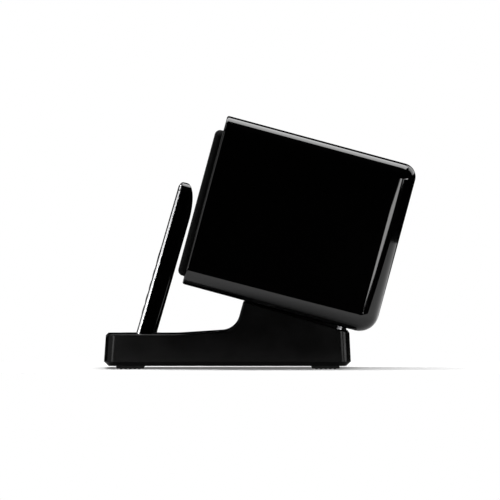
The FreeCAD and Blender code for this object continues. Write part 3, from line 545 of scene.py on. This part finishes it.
def makeCloth():
    low, high = boxIn(tilt, "grille_mesh")
    middle = (low + high) / 2
    edge, corner = clothSizes["edgeRound"] * mm, clothSizes["cornerRound"] * mm
    relief = clothSizes["relief"] * mm
    wall = high.y - low.y - edge
    flatX = (high.x - low.x) / 2 - corner
    flatZ = (high.z - low.z) / 2 - corner
    reach = corner - edge + edge * math.pi / 2 + wall
    columns = 4 * round((flatX + reach) / (clothSizes["pitch"] * mm))
    rows = 4 * round((flatZ + reach) / (clothSizes["pitch"] * mm))
    shape = bmesh.new()
    bmesh.ops.create_grid(shape, x_segments=columns, y_segments=rows, size=0.5)
    for vert in shape.verts:
        column, row = round((vert.co.x + 0.5) * columns), round((vert.co.y + 0.5) * rows)
        across, along = vert.co.x * 2 * (flatX + reach), vert.co.y * 2 * (flatZ + reach)
        pastX, pastZ = max(abs(across) - flatX, 0.0), max(abs(along) - flatZ, 0.0)
        shareX, shareZ = pastX / reach, pastZ / reach
        pastX, pastZ = pastX * math.sqrt(1 - shareZ ** 2 / 2), pastZ * math.sqrt(1 - shareX ** 2 / 2)
        out = math.hypot(pastX, pastZ)
        bend = max(out - corner + edge, 0.0)
        angle = min(bend / edge, math.pi / 2)
        rise = relief * ((column % 2) + (row % 2) - 1)
        depth = edge * (1 - math.cos(angle)) + max(bend - edge * math.pi / 2, 0.0)
        outward = (min(out, corner - edge) + (edge + rise) * math.sin(angle)) / out if out else 1.0
        x = math.copysign(min(abs(across), flatX) + pastX * outward, across)
        z = math.copysign(min(abs(along), flatZ) + pastZ * outward, along)
        vert.co = middle.x + x, low.y + relief + depth - rise * math.cos(angle), middle.z + z
    piece = makePiece(shape, "grilleCloth", "speaker", "grille_cloth", tilt, ("grille_mesh",), sharpAngle=80)
    addModifier(piece, "SOLIDIFY", thickness=clothSizes["thickness"] * mm, offset=-1.0)


makeCloth()
print("cloth done")


# Keys: a flange under the panel, a raised cap with a crowned face, and its printed mark

keySizes = {"flange": 0.6, "flangeThick": 0.6, "crown": 0.12, "rim": 0.22, "digit": 4.4, "mark": 3.6,
            "rimTurn": (0.3, 0.7), "crownStep": 0.11, "crownShares": (0.5, 0.32, 0.18),
            "markThick": 0.2, "markSunk": 0.075, "arrow": 0.85, "arrowOut": 0.29}
keyMarks = {"key_star": "*", "key_hash": "#"}


def pillShape(wide, tall, segments=40):
    shape = bmesh.new()
    bmesh.ops.create_circle(shape, cap_ends=True, segments=segments, radius=tall / 2)
    for vert in shape.verts:
        if abs(vert.co.x) > tall / 1000:
            vert.co.x += math.copysign((wide - tall) / 2, vert.co.x)
    return shape


def onlyFace(shape):
    shape.faces.ensure_lookup_table()
    return shape.faces[0]


def pullFace(shape, face, run):
    pulled = bmesh.ops.extrude_face_region(shape, geom=[face])["geom"]
    bmesh.ops.translate(shape, vec=run, verts=vertsIn(pulled))
    return next(item for item in pulled if isinstance(item, bmesh.types.BMFace))


def insetFace(shape, face, margin, rise=0.0):
    bmesh.ops.inset_region(shape, faces=[face], thickness=margin, depth=rise, use_even_offset=True)


def keyCap(wide, tall, depth):
    flange, thick = keySizes["flange"] * mm, keySizes["flangeThick"] * mm
    rim, crown = keySizes["rim"] * mm, keySizes["crown"] * mm
    shape = pillShape(wide + 2 * flange, tall + 2 * flange)
    top = pullFace(shape, onlyFace(shape), (0, 0, thick))
    insetFace(shape, top, flange)
    top = pullFace(shape, top, (0, 0, depth - thick - rim - crown))
    # the rim turns over in two steps, then three shallow ones make the crown
    slight, strong = keySizes["rimTurn"]
    insetFace(shape, top, rim * slight, rim * strong)
    insetFace(shape, top, rim * strong, rim * slight)
    for share in keySizes["crownShares"]:
        insetFace(shape, top, tall * keySizes["crownStep"], crown * share)
    bmesh.ops.recalc_face_normals(shape, faces=shape.faces)
    return shape


# the receiver mark's parts as shares of its size, its bend and turn as shares of half a turn
receiverShares = {"bar": 0.15, "radius": 0.45, "bend": 0.72, "endIn": 0.22, "endOut": 0.52, "endHalf": 0.13,
                  "endRound": 0.06, "down": 0.2, "turn": 0.14}


def receiverShape(size):
    # a telephone receiver: a bent bar with a blunt end on each side, lying flat
    depth, bend = keySizes["markThick"] * mm, math.pi * receiverShares["bend"]
    bar, endHalf = size * receiverShares["bar"], size * receiverShares["endHalf"]
    shape = bmesh.new()
    section = bmesh.ops.create_grid(shape, x_segments=1, y_segments=1, size=0.5)["verts"]
    bmesh.ops.scale(shape, vec=(bar, depth, 1), verts=section)
    bmesh.ops.rotate(shape, cent=(0, 0, 0), matrix=Matrix.Rotation(math.pi / 2, 3, "X"), verts=section)
    bmesh.ops.translate(shape, vec=(size * receiverShares["radius"], 0, 0), verts=section)
    start = shape.verts[:] + shape.edges[:] + shape.faces[:]
    roundTurn(shape, start, (0, 0, 0), bend, 14)
    for turn in (0.0, bend):
        end = bmesh.new()
        low = (size * receiverShares["endIn"], -endHalf, -depth / 2)
        high = (size * receiverShares["endOut"], endHalf, depth / 2)
        bevelled(end, uprightEdges(cubeBetween(end, low, high)), size * receiverShares["endRound"], 2)
        addShape(shape, end, Matrix.Rotation(turn, 4, "Z"))
    bmesh.ops.translate(shape, vec=(0, -size * receiverShares["down"], 0), verts=shape.verts)
    turned = Matrix.Rotation(math.pi * receiverShares["turn"], 3, "Z")
    bmesh.ops.rotate(shape, cent=(0, 0, 0), matrix=turned, verts=shape.verts)
    bmesh.ops.recalc_face_normals(shape, faces=shape.faces)
    return shape


def arrowShape(size, turn, reach):
    shape = bmesh.new()
    thick = keySizes["markThick"] * mm
    bmesh.ops.create_circle(shape, cap_ends=True, segments=3, radius=size)
    pullFace(shape, onlyFace(shape), (0, 0, thick))
    bmesh.ops.translate(shape, vec=(0, reach, -thick / 2), verts=shape.verts)
    bmesh.ops.rotate(shape, cent=(0, 0, 0), matrix=Matrix.Rotation(turn, 3, "Z"), verts=shape.verts)
    bmesh.ops.recalc_face_normals(shape, faces=shape.faces)
    return shape


def makeKey(node, marks, ink):
    low, high = boxIn(lean, node)
    flange = keySizes["flange"] * mm
    wide, tall, depth = high.x - low.x - 2 * flange, high.z - low.z - 2 * flange, high.y - low.y
    shape = keyCap(wide, tall, depth)
    face = Matrix.Translation((0, 0, depth - keySizes["markSunk"] * mm))
    for mark, place in marks:
        addShape(shape, mark, face @ place, 1)
    words = node.split("_")
    name = words[0] + words[1].capitalize() + "Cap"
    place = lean @ facing((low.x + high.x) / 2, high.y, (low.z + high.z) / 2)
    makePiece(shape, name, bodyOf[node], "key_plastic", place, (node,), (ink,), 40)


def makeKeys():
    digit, mark, thick = (keySizes[name] * mm for name in ("digit", "mark", "markThick"))
    for node in cadNodes:
        if node.startswith("key_"):
            label = keyMarks.get(node, node[-1])
            makeKey(node, [(textShape(label, digit, thick), level)], keyInks["white"])
    raised = Matrix.Rotation(math.pi * 0.25, 4, "Z")
    makeKey("talk_key", [(receiverShape(mark), raised)], keyInks["green"])
    makeKey("end_key", [(receiverShape(mark), level)], keyInks["red"])
    low, high = boxIn(lean, "nav_key")
    reach = (high.x - low.x) * keySizes["arrowOut"]
    arrow = keySizes["arrow"] * mm
    arrows = [(arrowShape(arrow, math.pi / 2 * turn, reach), level) for turn in range(4)]
    makeKey("nav_key", arrows, keyInks["white"])


makeKeys()
print("keys done")


# Display: a lit panel with a clock, a battery and signal bars, under the front panel's window

displaySizes = {"border": 1.5, "proud": 0.04, "sunk": 0.2, "corner": 1.2, "clock": 11.0, "clockUp": 2.0,
                "line": 0.25, "lineEnd": 2.0, "lineUp": (-7.5, 8.5), "top": 4.0, "margin": 3.0, "gap": 0.02,
                "bars": 4, "barPitch": 1.1, "barWide": 0.7, "barRise": 0.6,
                "words": ("Menu", "Names"), "wordSize": 3.2, "wordUp": 3.2, "wordOut": 11.0}

# the battery's blocks, from its right end and its charge's lower edge: left, lower, right, upper
batteryBlocks = ((-5.0, 0.0, -1.6, 2.2), (-5.6, -0.6, -0.4, -0.2), (-6.0, -0.6, -5.6, 2.8),
                 (-5.6, 2.4, -0.4, 2.8), (-0.4, -0.6, 0.0, 2.8), (0.0, 0.4, 0.5, 1.8))


def makeDisplay():
    low, high = boxIn(lean, "display_module")
    border, proud = displaySizes["border"] * mm, displaySizes["proud"] * mm
    wide, tall = high.x - low.x - 2 * border, high.z - low.z - 2 * border
    middle = (low + high) / 2
    window = softBlock((-wide / 2, -tall / 2, -displaySizes["sunk"] * mm), (wide / 2, tall / 2, proud),
                       displaySizes["corner"] * mm, proud * 0.6, 4)
    makePiece(window, "displayWindow", "handset", "display_glass", lean @ facing(middle.x, frontY, middle.z))

    # what the display shows stands a hair above the window
    image = bmesh.new()
    clock = textShape("12:30", displaySizes["clock"] * mm, proud)
    addShape(image, clock, Matrix.Translation((0, displaySizes["clockUp"] * mm, 0)))

    def block(left, low, right, high):
        cubeBetween(image, (left, low, -proud / 2), (right, high, proud / 2))

    top = tall / 2 - displaySizes["top"] * mm
    right = wide / 2 - displaySizes["margin"] * mm
    for step in range(displaySizes["bars"]):
        left = step * displaySizes["barPitch"] * mm - right
        block(left, top, left + displaySizes["barWide"] * mm, top + (step + 1) * displaySizes["barRise"] * mm)
    for left, lower, end, upper in batteryBlocks:
        block(right + left * mm, top + lower * mm, right + end * mm, top + upper * mm)
    reach = wide / 2 - displaySizes["lineEnd"] * mm
    for height in displaySizes["lineUp"]:
        block(-reach, height * mm, reach, (height + displaySizes["line"]) * mm)
    for side, word in zip((-1, 1), displaySizes["words"]):
        place = (side * displaySizes["wordOut"] * mm, displaySizes["wordUp"] * mm - tall / 2, 0)
        addShape(image, textShape(word, displaySizes["wordSize"] * mm, proud), Matrix.Translation(place))
    place = lean @ facing(middle.x, frontY - proud - displaySizes["gap"] * mm, middle.z)
    makePiece(image, "displayImage", "handset", "display_glass", place, ownFinish=displayGlow())


def displayGlow():
    sheet = Sheet("displayGlow", Emission_Strength=0.7, IOR=1.5)
    spot = sheet.place(-leanAngle)
    dots = sheet.noise(spot, 1800.0, 1.0)
    glow = sheet.tint(dots, (0.55, 0.75, 0.95), (0.75, 0.9, 1.0))
    return sheet.set(Base_Color=glow, Emission_Color=glow, Roughness=sheet.between(dots, 0.3, 0.45))


makeDisplay()


# Earpiece: a fine wire mesh behind the slot of the front panel

earpieceSizes = {"wide": 10.8, "tall": 1.7, "pitch": 0.32, "relief": 0.07, "behind": 0.25, "wire": 0.15}


def makeEarpieceMesh():
    low, high = boxIn(lean, "earpiece")
    wide, tall = earpieceSizes["wide"] * mm, earpieceSizes["tall"] * mm
    pitch, relief = earpieceSizes["pitch"] * mm, earpieceSizes["relief"] * mm
    columns, rows = 2 * round(wide / pitch), 2 * round(tall / pitch)
    shape = bmesh.new()
    bmesh.ops.create_grid(shape, x_segments=columns, y_segments=rows, size=0.5)
    for vert in shape.verts:
        column, row = round((vert.co.x + 0.5) * columns), round((vert.co.y + 0.5) * rows)
        lift = relief * ((column % 2) + (row % 2) - 1)
        vert.co = vert.co.x * wide, vert.co.y * tall, lift
    place = lean @ facing(0, frontY + earpieceSizes["behind"] * mm, (low.z + high.z) / 2)
    piece = makePiece(shape, "earpieceMesh", "handset", "bezel_metal", place)
    addModifier(piece, "SOLIDIFY", thickness=earpieceSizes["wire"] * mm, offset=-1.0)


makeEarpieceMesh()
print("display and earpiece done")


# Locate key: a dished cap with a ring mark, on its flange and stem

locateSizes = {"radius": 4.0, "flange": 1.2, "flangeThick": 0.9, "thick": 3.9, "dish": 0.35, "rim": 0.35,
               "stem": 1.5, "mark": 1.5, "ringWide": 0.22, "ringProud": 0.06, "ringSunk": 0.2}


def makeLocateKey():
    low, high = boxIn(level, "locate_key")
    middle = (low + high) / 2
    names = ("radius", "rim", "stem", "thick", "dish")
    radius, rim, stem, thick, dish = (locateSizes[name] * mm for name in names)
    flange = radius + locateSizes["flange"] * mm
    shoulder = high.z - thick + locateSizes["flangeThick"] * mm
    outline = [(0.0, low.z), (stem, low.z), (stem, high.z - thick), (flange, high.z - thick),
               (flange, shoulder), (radius, shoulder), (radius, high.z - rim),
               (radius - rim * 0.3, high.z - rim * 0.3), (radius - rim, high.z),
               (radius * 0.6, high.z - dish * 0.7), (radius * 0.3, high.z - dish * 0.95),
               (0.0, high.z - dish)]
    shape = turnedShape(outline, 48)
    dishLevel = high.z - dish * 0.85
    under, over = dishLevel - locateSizes["ringSunk"] * mm, dishLevel + locateSizes["ringProud"] * mm
    for inner in (locateSizes["mark"] * 0.45 * mm, locateSizes["mark"] * mm):
        outer = inner + locateSizes["ringWide"] * mm
        ring = turnedShape([(inner, under), (inner, over), (outer, over), (outer, under), (inner, under)])
        addShape(shape, ring, finish=1)
    place = Matrix.Translation((middle.x, middle.y, 0))
    makePiece(shape, "locateKeyCap", "locate_key", "base_plastic", place, ("locate_key",),
              (keyInks["white"],), 40)


makeLocateKey()


# Feet: moulded pads with ribs that grip

footSizes = {"wide": 18.0, "long": 19.5, "corner": 3.0, "round": 0.4, "ribs": 5, "ribDepth": 0.5,
             "ribWide": 1.7, "ribPitch": 3.2, "ribShare": 0.84}


def makeFeet():
    low, high = boxIn(level, "base_feet")
    wide, long = footSizes["wide"] * mm, footSizes["long"] * mm
    depth, ribWide = footSizes["ribDepth"] * mm, footSizes["ribWide"] * mm
    ribLong = wide * footSizes["ribShare"] / 2  # half a rib's length
    shape = bmesh.new()
    for x in (low.x + wide / 2, high.x - wide / 2):
        for y in (low.y + long / 2, high.y - long / 2):
            pad = softBlock((x - wide / 2, y - long / 2, depth), (x + wide / 2, y + long / 2, high.z),
                            footSizes["corner"] * mm, footSizes["round"] * mm)
            addShape(shape, pad)
            for step in range(footSizes["ribs"]):
                ribY = y + (step - (footSizes["ribs"] - 1) / 2) * footSizes["ribPitch"] * mm
                ribTop = (x + ribLong, ribY + ribWide / 2, depth * 2)
                ribFoot = (x - ribLong, ribY - ribWide / 2, 0)
                addShape(shape, softBlock(ribFoot, ribTop, ribWide * 0.45, depth * 0.4))
    makePiece(shape, "baseFeet", "base", "rubber", standsFor=("base_feet",))


makeFeet()


# Screws under the base and in the baffle: low domed heads with a cross recess

screwSizes = {"head": 2.8, "dome": 0.35, "headThick": 1.4, "cross": 1.5, "arm": 0.42, "recess": 0.7,
              "flat": 0.72, "crossTaper": 0.75, "shank": 1.5, "turns": 9, "shankStart": 1.0, "sunk": 0.05,
              "root": 0.78, "threadStart": 0.2, "threadRun": 0.72, "threadRise": 0.04, "threadEnd": 0.94}


def crossHead():
    # drawn upright: the head's face looks along +z and is at z = 0
    head, arm, reach = screwSizes["head"] * mm, screwSizes["arm"] * mm, screwSizes["cross"] * mm
    dome = screwSizes["dome"] * mm
    shape = bmesh.new()
    rimVerts = bmesh.ops.create_circle(shape, segments=24, radius=head * screwSizes["flat"])["verts"]
    corners = [(arm, reach), (arm, arm), (reach, arm), (reach, -arm), (arm, -arm), (arm, -reach),
               (-arm, -reach), (-arm, -arm), (-reach, -arm), (-reach, arm), (-arm, arm), (-arm, reach)]
    crossVerts = [shape.verts.new((x, y, 0)) for x, y in corners]
    crossEdges = [shape.edges.new((crossVerts[i - 1], crossVerts[i])) for i in range(len(crossVerts))]
    rimEdges = edgesOf(rimVerts)
    bmesh.ops.bridge_loops(shape, edges=rimEdges + crossEdges)
    pulled = bmesh.ops.extrude_edge_only(shape, edges=crossEdges)["geom"]
    low = vertsIn(pulled)
    bmesh.ops.translate(shape, vec=(0, 0, -screwSizes["recess"] * mm), verts=low)
    bmesh.ops.scale(shape, vec=(screwSizes["crossTaper"], screwSizes["crossTaper"], 1), verts=low)
    bmesh.ops.contextual_create(shape, geom=openEdges(pulled))
    loop = rimEdges
    for radius, height in ((head * 0.94, -dome * 0.5), (head, -dome), (head, -screwSizes["headThick"] * mm)):
        pulled = bmesh.ops.extrude_edge_only(shape, edges=loop)["geom"]
        loop = openEdges(pulled)
        for vert in vertsIn(pulled):
            flat = Vector((vert.co.x, vert.co.y, 0)).normalized() * radius
            vert.co = flat.x, flat.y, height
    bmesh.ops.contextual_create(shape, geom=loop)
    bmesh.ops.recalc_face_normals(shape, faces=shape.faces)
    return shape


def screwShape(depth):
    # the head as above, and a threaded shank running down from it
    length = depth - screwSizes["shankStart"] * mm
    shank = screwSizes["shank"] * mm
    root = shank * screwSizes["root"]
    thread = [(0.0, 0.0), (shank, 0.0)]
    for step in range(screwSizes["turns"]):
        height = length * (screwSizes["threadStart"] + screwSizes["threadRun"] * step / screwSizes["turns"])
        thread += [(shank, height), (root, height + length * screwSizes["threadRise"])]
    thread += [(root, length * screwSizes["threadEnd"]), (0.0, length)]
    shape = crossHead()
    start = Matrix.Translation((0, 0, -screwSizes["shankStart"] * mm))
    addShape(shape, turnedShape(thread, 16), start @ upsideDown)
    return shape


def makeScrews():
    head, sunk = screwSizes["head"] * mm, screwSizes["sunk"] * mm
    low, high = boxIn(level, "base_screws")
    shape = bmesh.new()
    for x in (low.x + head, high.x - head):
        for y in (low.y + head, high.y - head):
            place = Matrix.Translation((x, y, low.z + sunk)) @ upsideDown
            addShape(shape, screwShape(high.z - low.z), place)
    makePiece(shape, "baseScrews", "base", "screw_steel", standsFor=("base_screws",))

    low, high = boxIn(tilt, "baffle_screws")
    shape = bmesh.new()
    for x in (low.x + head, high.x - head):
        for z in (low.z + head, high.z - head):
            addShape(shape, screwShape(high.y - low.y), facing(x, low.y + sunk, z))
    makePiece(shape, "baffleScrews", "speaker", "screw_steel", tilt, ("baffle_screws",), ownFinish=blackZinc)


makeScrews()


# Sockets at the back: the barrel's collar and pin, and the line socket's spring wires

socketSizes = {"bore": 2.75, "collar": 0.35, "pin": 1.04, "deep": 8.0, "floor": 9.6, "tip": 0.8,
               "skin": 0.02, "wall": 0.1, "boreUp": 0.3, "wires": 4, "wirePitch": 1.02, "wire": 0.22,
               "roof": 8.3, "wireStart": 1.5}

# each wire runs in along the roof, then slopes down to the mouth's floor
wireRuns = ((-1.5, 0.0), (-1.0, -0.6), (-4.5, -3.4), (-0.8, -0.5))


def makePowerContact():
    low, high = boxIn(level, "power_socket")
    middle = (low + high) / 2
    bore, collar, pin = (socketSizes[name] * mm for name in ("bore", "collar", "pin"))
    deep, floor, tip = (-socketSizes[name] * mm for name in ("deep", "floor", "tip"))
    inner, outer = bore - socketSizes["skin"] * mm, bore + socketSizes["wall"] * mm
    shape = turnedShape([(inner, deep), (inner, -0.1 * mm), (bore + collar, 0.12 * mm),
                         (bore + collar * 1.4, 0.02 * mm), (bore + collar, -0.3 * mm), (outer, -0.5 * mm),
                         (outer, deep), (inner, deep)], 40)
    pinLine = [(0.0, floor), (pin, floor), (pin, tip - 0.5 * mm), (pin * 0.75, tip - 0.05 * mm),
               (pin * 0.35, tip + 0.08 * mm), (0.0, tip + 0.1 * mm)]
    addShape(shape, turnedShape(pinLine, 24))
    mouth = Matrix.Translation((middle.x, high.y, middle.z + socketSizes["boreUp"] * mm))
    backwards = Matrix.Rotation(-math.pi / 2, 4, "X")
    makePiece(shape, "powerContact", "base", "contact_metal", mouth @ backwards)


def makeLineWires():
    low, high = boxIn(level, "line_socket")
    middleX = (low.x + high.x) / 2
    startY, startZ = high.y - socketSizes["wireStart"] * mm, low.z + socketSizes["roof"] * mm
    shape = bmesh.new()
    for step in range(socketSizes["wires"]):
        x = middleX + (step - (socketSizes["wires"] - 1) / 2) * socketSizes["wirePitch"] * mm
        wire = bmesh.new()
        ring = bmesh.ops.create_circle(wire, segments=8, radius=socketSizes["wire"] * mm)["verts"]
        bmesh.ops.rotate(wire, cent=(0, 0, 0), matrix=Matrix.Rotation(math.pi / 2, 3, "X"), verts=ring)
        bmesh.ops.translate(wire, vec=(x, startY, startZ), verts=ring)
        bmesh.ops.contextual_create(wire, geom=wire.edges[:])
        face = onlyFace(wire)
        for along, down in wireRuns:
            face = pullFace(wire, face, (0, along * mm, down * mm))
        bmesh.ops.recalc_face_normals(wire, faces=wire.faces)
        addShape(shape, wire)
    makePiece(shape, "lineWires", "base", "contact_metal")


makePowerContact()
makeLineWires()
print("base details done")


# Volume marks: a minus and a plus printed on the rocker

volumeSizes = {"long": 0.9, "line": 0.18, "proud": 0.04, "sunk": 0.1, "share": 0.33}


def makeVolumeMarks():
    low, high = boxIn(lean, "volume_rocker")
    middle = (low + high) / 2
    left, right = low.x - volumeSizes["proud"] * mm, low.x + volumeSizes["sunk"] * mm
    half, thin = volumeSizes["long"] / 2 * mm, volumeSizes["line"] / 2 * mm
    shape = bmesh.new()
    for side in (-1, 1):
        z = middle.z + side * (high.z - low.z) * volumeSizes["share"]
        cubeBetween(shape, (left, middle.y - half, z - thin), (right, middle.y + half, z + thin))
        if side > 0:
            cubeBetween(shape, (left, middle.y - thin, z - half), (right, middle.y + thin, z + half))
    makePiece(shape, "volumeMarks", "volume_rocker", "bezel_metal", lean, ownFinish=keyInks["dark"])


makeVolumeMarks()


# Seat posts: four turned pins that the loudspeaker drops onto

postSizes = {"radius": 2.0, "innerX": 30.0, "tip": ((1.0, 0.7), (0.93, 0.35), (0.7, 0.08), (0.0, 0.0))}


def makePosts():
    low, high = boxIn(tilt, "seat_posts")
    radius, innerX = postSizes["radius"] * mm, postSizes["innerX"] * mm
    length = high.z - low.z
    outline = [(0.0, 0.0), (radius, 0.0)]
    outline += [(radius * share, length - below * mm) for share, below in postSizes["tip"]]
    shape = bmesh.new()
    for side in (-1, 1):
        for x, y in ((side * innerX, low.y + radius), (side * (high.x - radius), high.y - radius)):
            addShape(shape, turnedShape(outline, 32), Matrix.Translation((x, y, low.z)))
    makePiece(shape, "seatPosts", "base", "post_chrome", tilt, ("seat_posts",), sharpAngle=50)


makePosts()
print("pieces done")


# Stage, light and camera

stageSizes = {"floorLow": (-0.28, -0.42), "floorHigh": (0.26, 0.42), "lensMm": 923.0, "distance": 9.0,
              "height": 0.122, "shift": -0.1114, "centreY": -0.0068}

# place, target, size and watts of each light; the mirror cards show only in the gloss
lamps = {
    "overhead": ((-0.147, 0.05, 0.9), (-0.147, 0.05, 0.0), (0.6, 1.2), 15.5),
    "frontHigh": ((-1.0, -1.05, 0.8), (0, 0, 0.08), (0.8, 0.8), 2.5),
    "rearHigh": ((-0.75, 1.2, 0.85), (0, 0.2, 0.0), (1.2, 1.0), 9.0),
}
mirrorCards = {
    "frontCard": ((0.52, -0.64, 0.17), (0.03, -0.08, 0.08), (0.9, 0.34), 1.05),
    "topCard": ((0.5, -0.5, 0.72), (0.03, -0.05, 0.12), (0.6, 0.5), 1.0),
    "frontGlow": ((0.95, -0.33, 0.045), (0.066, -0.1, 0.02), (0.36, 0.08), 0.7),
    "rearGlow": ((0.95, 0.31, 0.045), (0.066, 0.07, 0.02), (0.36, 0.08), 0.6),
    "rearCard": ((0.56, 0.69, 0.035), (0.06, 0.06, 0.03), (0.4, 0.06), 0.6),
}


def whiteFloor():
    sheet = Sheet("whiteFloor")
    spot = sheet.place()
    soft = sheet.noise(spot, 3.0, 2.0)
    return sheet.set(Base_Color=sheet.tint(soft, (0.88, 0.88, 0.88), (0.9, 0.9, 0.9)),
                     Roughness=sheet.between(soft, 0.5, 0.55), Emission_Color=(1, 1, 1, 1),
                     Emission_Strength=0.15)


def makeFloor():
    (lowX, lowY), (highX, highY) = stageSizes["floorLow"], stageSizes["floorHigh"]
    shape = bmesh.new()
    bmesh.ops.create_grid(shape, x_segments=1, y_segments=1, size=0.5)
    bmesh.ops.scale(shape, vec=(highX - lowX, highY - lowY, 1), verts=shape.verts)
    bmesh.ops.translate(shape, vec=((highX + lowX) / 2, (highY + lowY) / 2, 0), verts=shape.verts)
    mesh = bpy.data.meshes.new("floor")
    shape.to_mesh(mesh)
    shape.free()
    floor = bpy.data.objects.new("floor", mesh)
    mesh.materials.append(whiteFloor())
    bpy.context.scene.collection.objects.link(floor)


def areaLight(name, place, target, size, watts, mirrorOnly=False):
    lamp = bpy.data.lights.new(name, "AREA")
    lamp.shape = "RECTANGLE"
    lamp.size, lamp.size_y = size
    lamp.energy = watts
    holder = bpy.data.objects.new(name, lamp)
    holder.visible_camera = False
    holder.visible_diffuse = not mirrorOnly
    holder.location = place
    holder.rotation_euler = (Vector(target) - Vector(place)).to_track_quat("-Z", "Y").to_euler()
    bpy.context.scene.collection.objects.link(holder)


def makeWorld():
    # plain white behind the object, dark all round it for the gloss to mirror
    world = bpy.data.worlds.new("studio")
    world.use_nodes = True
    tree = world.node_tree
    background = tree.nodes["Background"]
    path = tree.nodes.new("ShaderNodeLightPath")
    tree.links.new(path.outputs["Is Camera Ray"], background.inputs["Strength"])
    background.inputs["Color"].default_value = (1, 1, 1, 1)
    bpy.context.scene.world = world


def makeCamera():
    camera = bpy.data.cameras.new("camera")
    camera.lens = stageSizes["lensMm"]
    camera.sensor_width = 36.0
    camera.clip_end = 50.0
    camera.shift_y = stageSizes["shift"]
    holder = bpy.data.objects.new("camera", camera)
    holder.location = stageSizes["distance"], stageSizes["centreY"], stageSizes["height"]
    holder.rotation_euler = (math.pi / 2, 0, math.pi / 2)
    bpy.context.scene.collection.objects.link(holder)
    bpy.context.scene.camera = holder


makeCamera()
makeFloor()
makeWorld()
for name, values in lamps.items():
    areaLight(name, *values)
for name, values in mirrorCards.items():
    areaLight(name, *values, mirrorOnly=True)
bpy.context.scene.view_settings.view_transform = "Standard"
print("stage done")
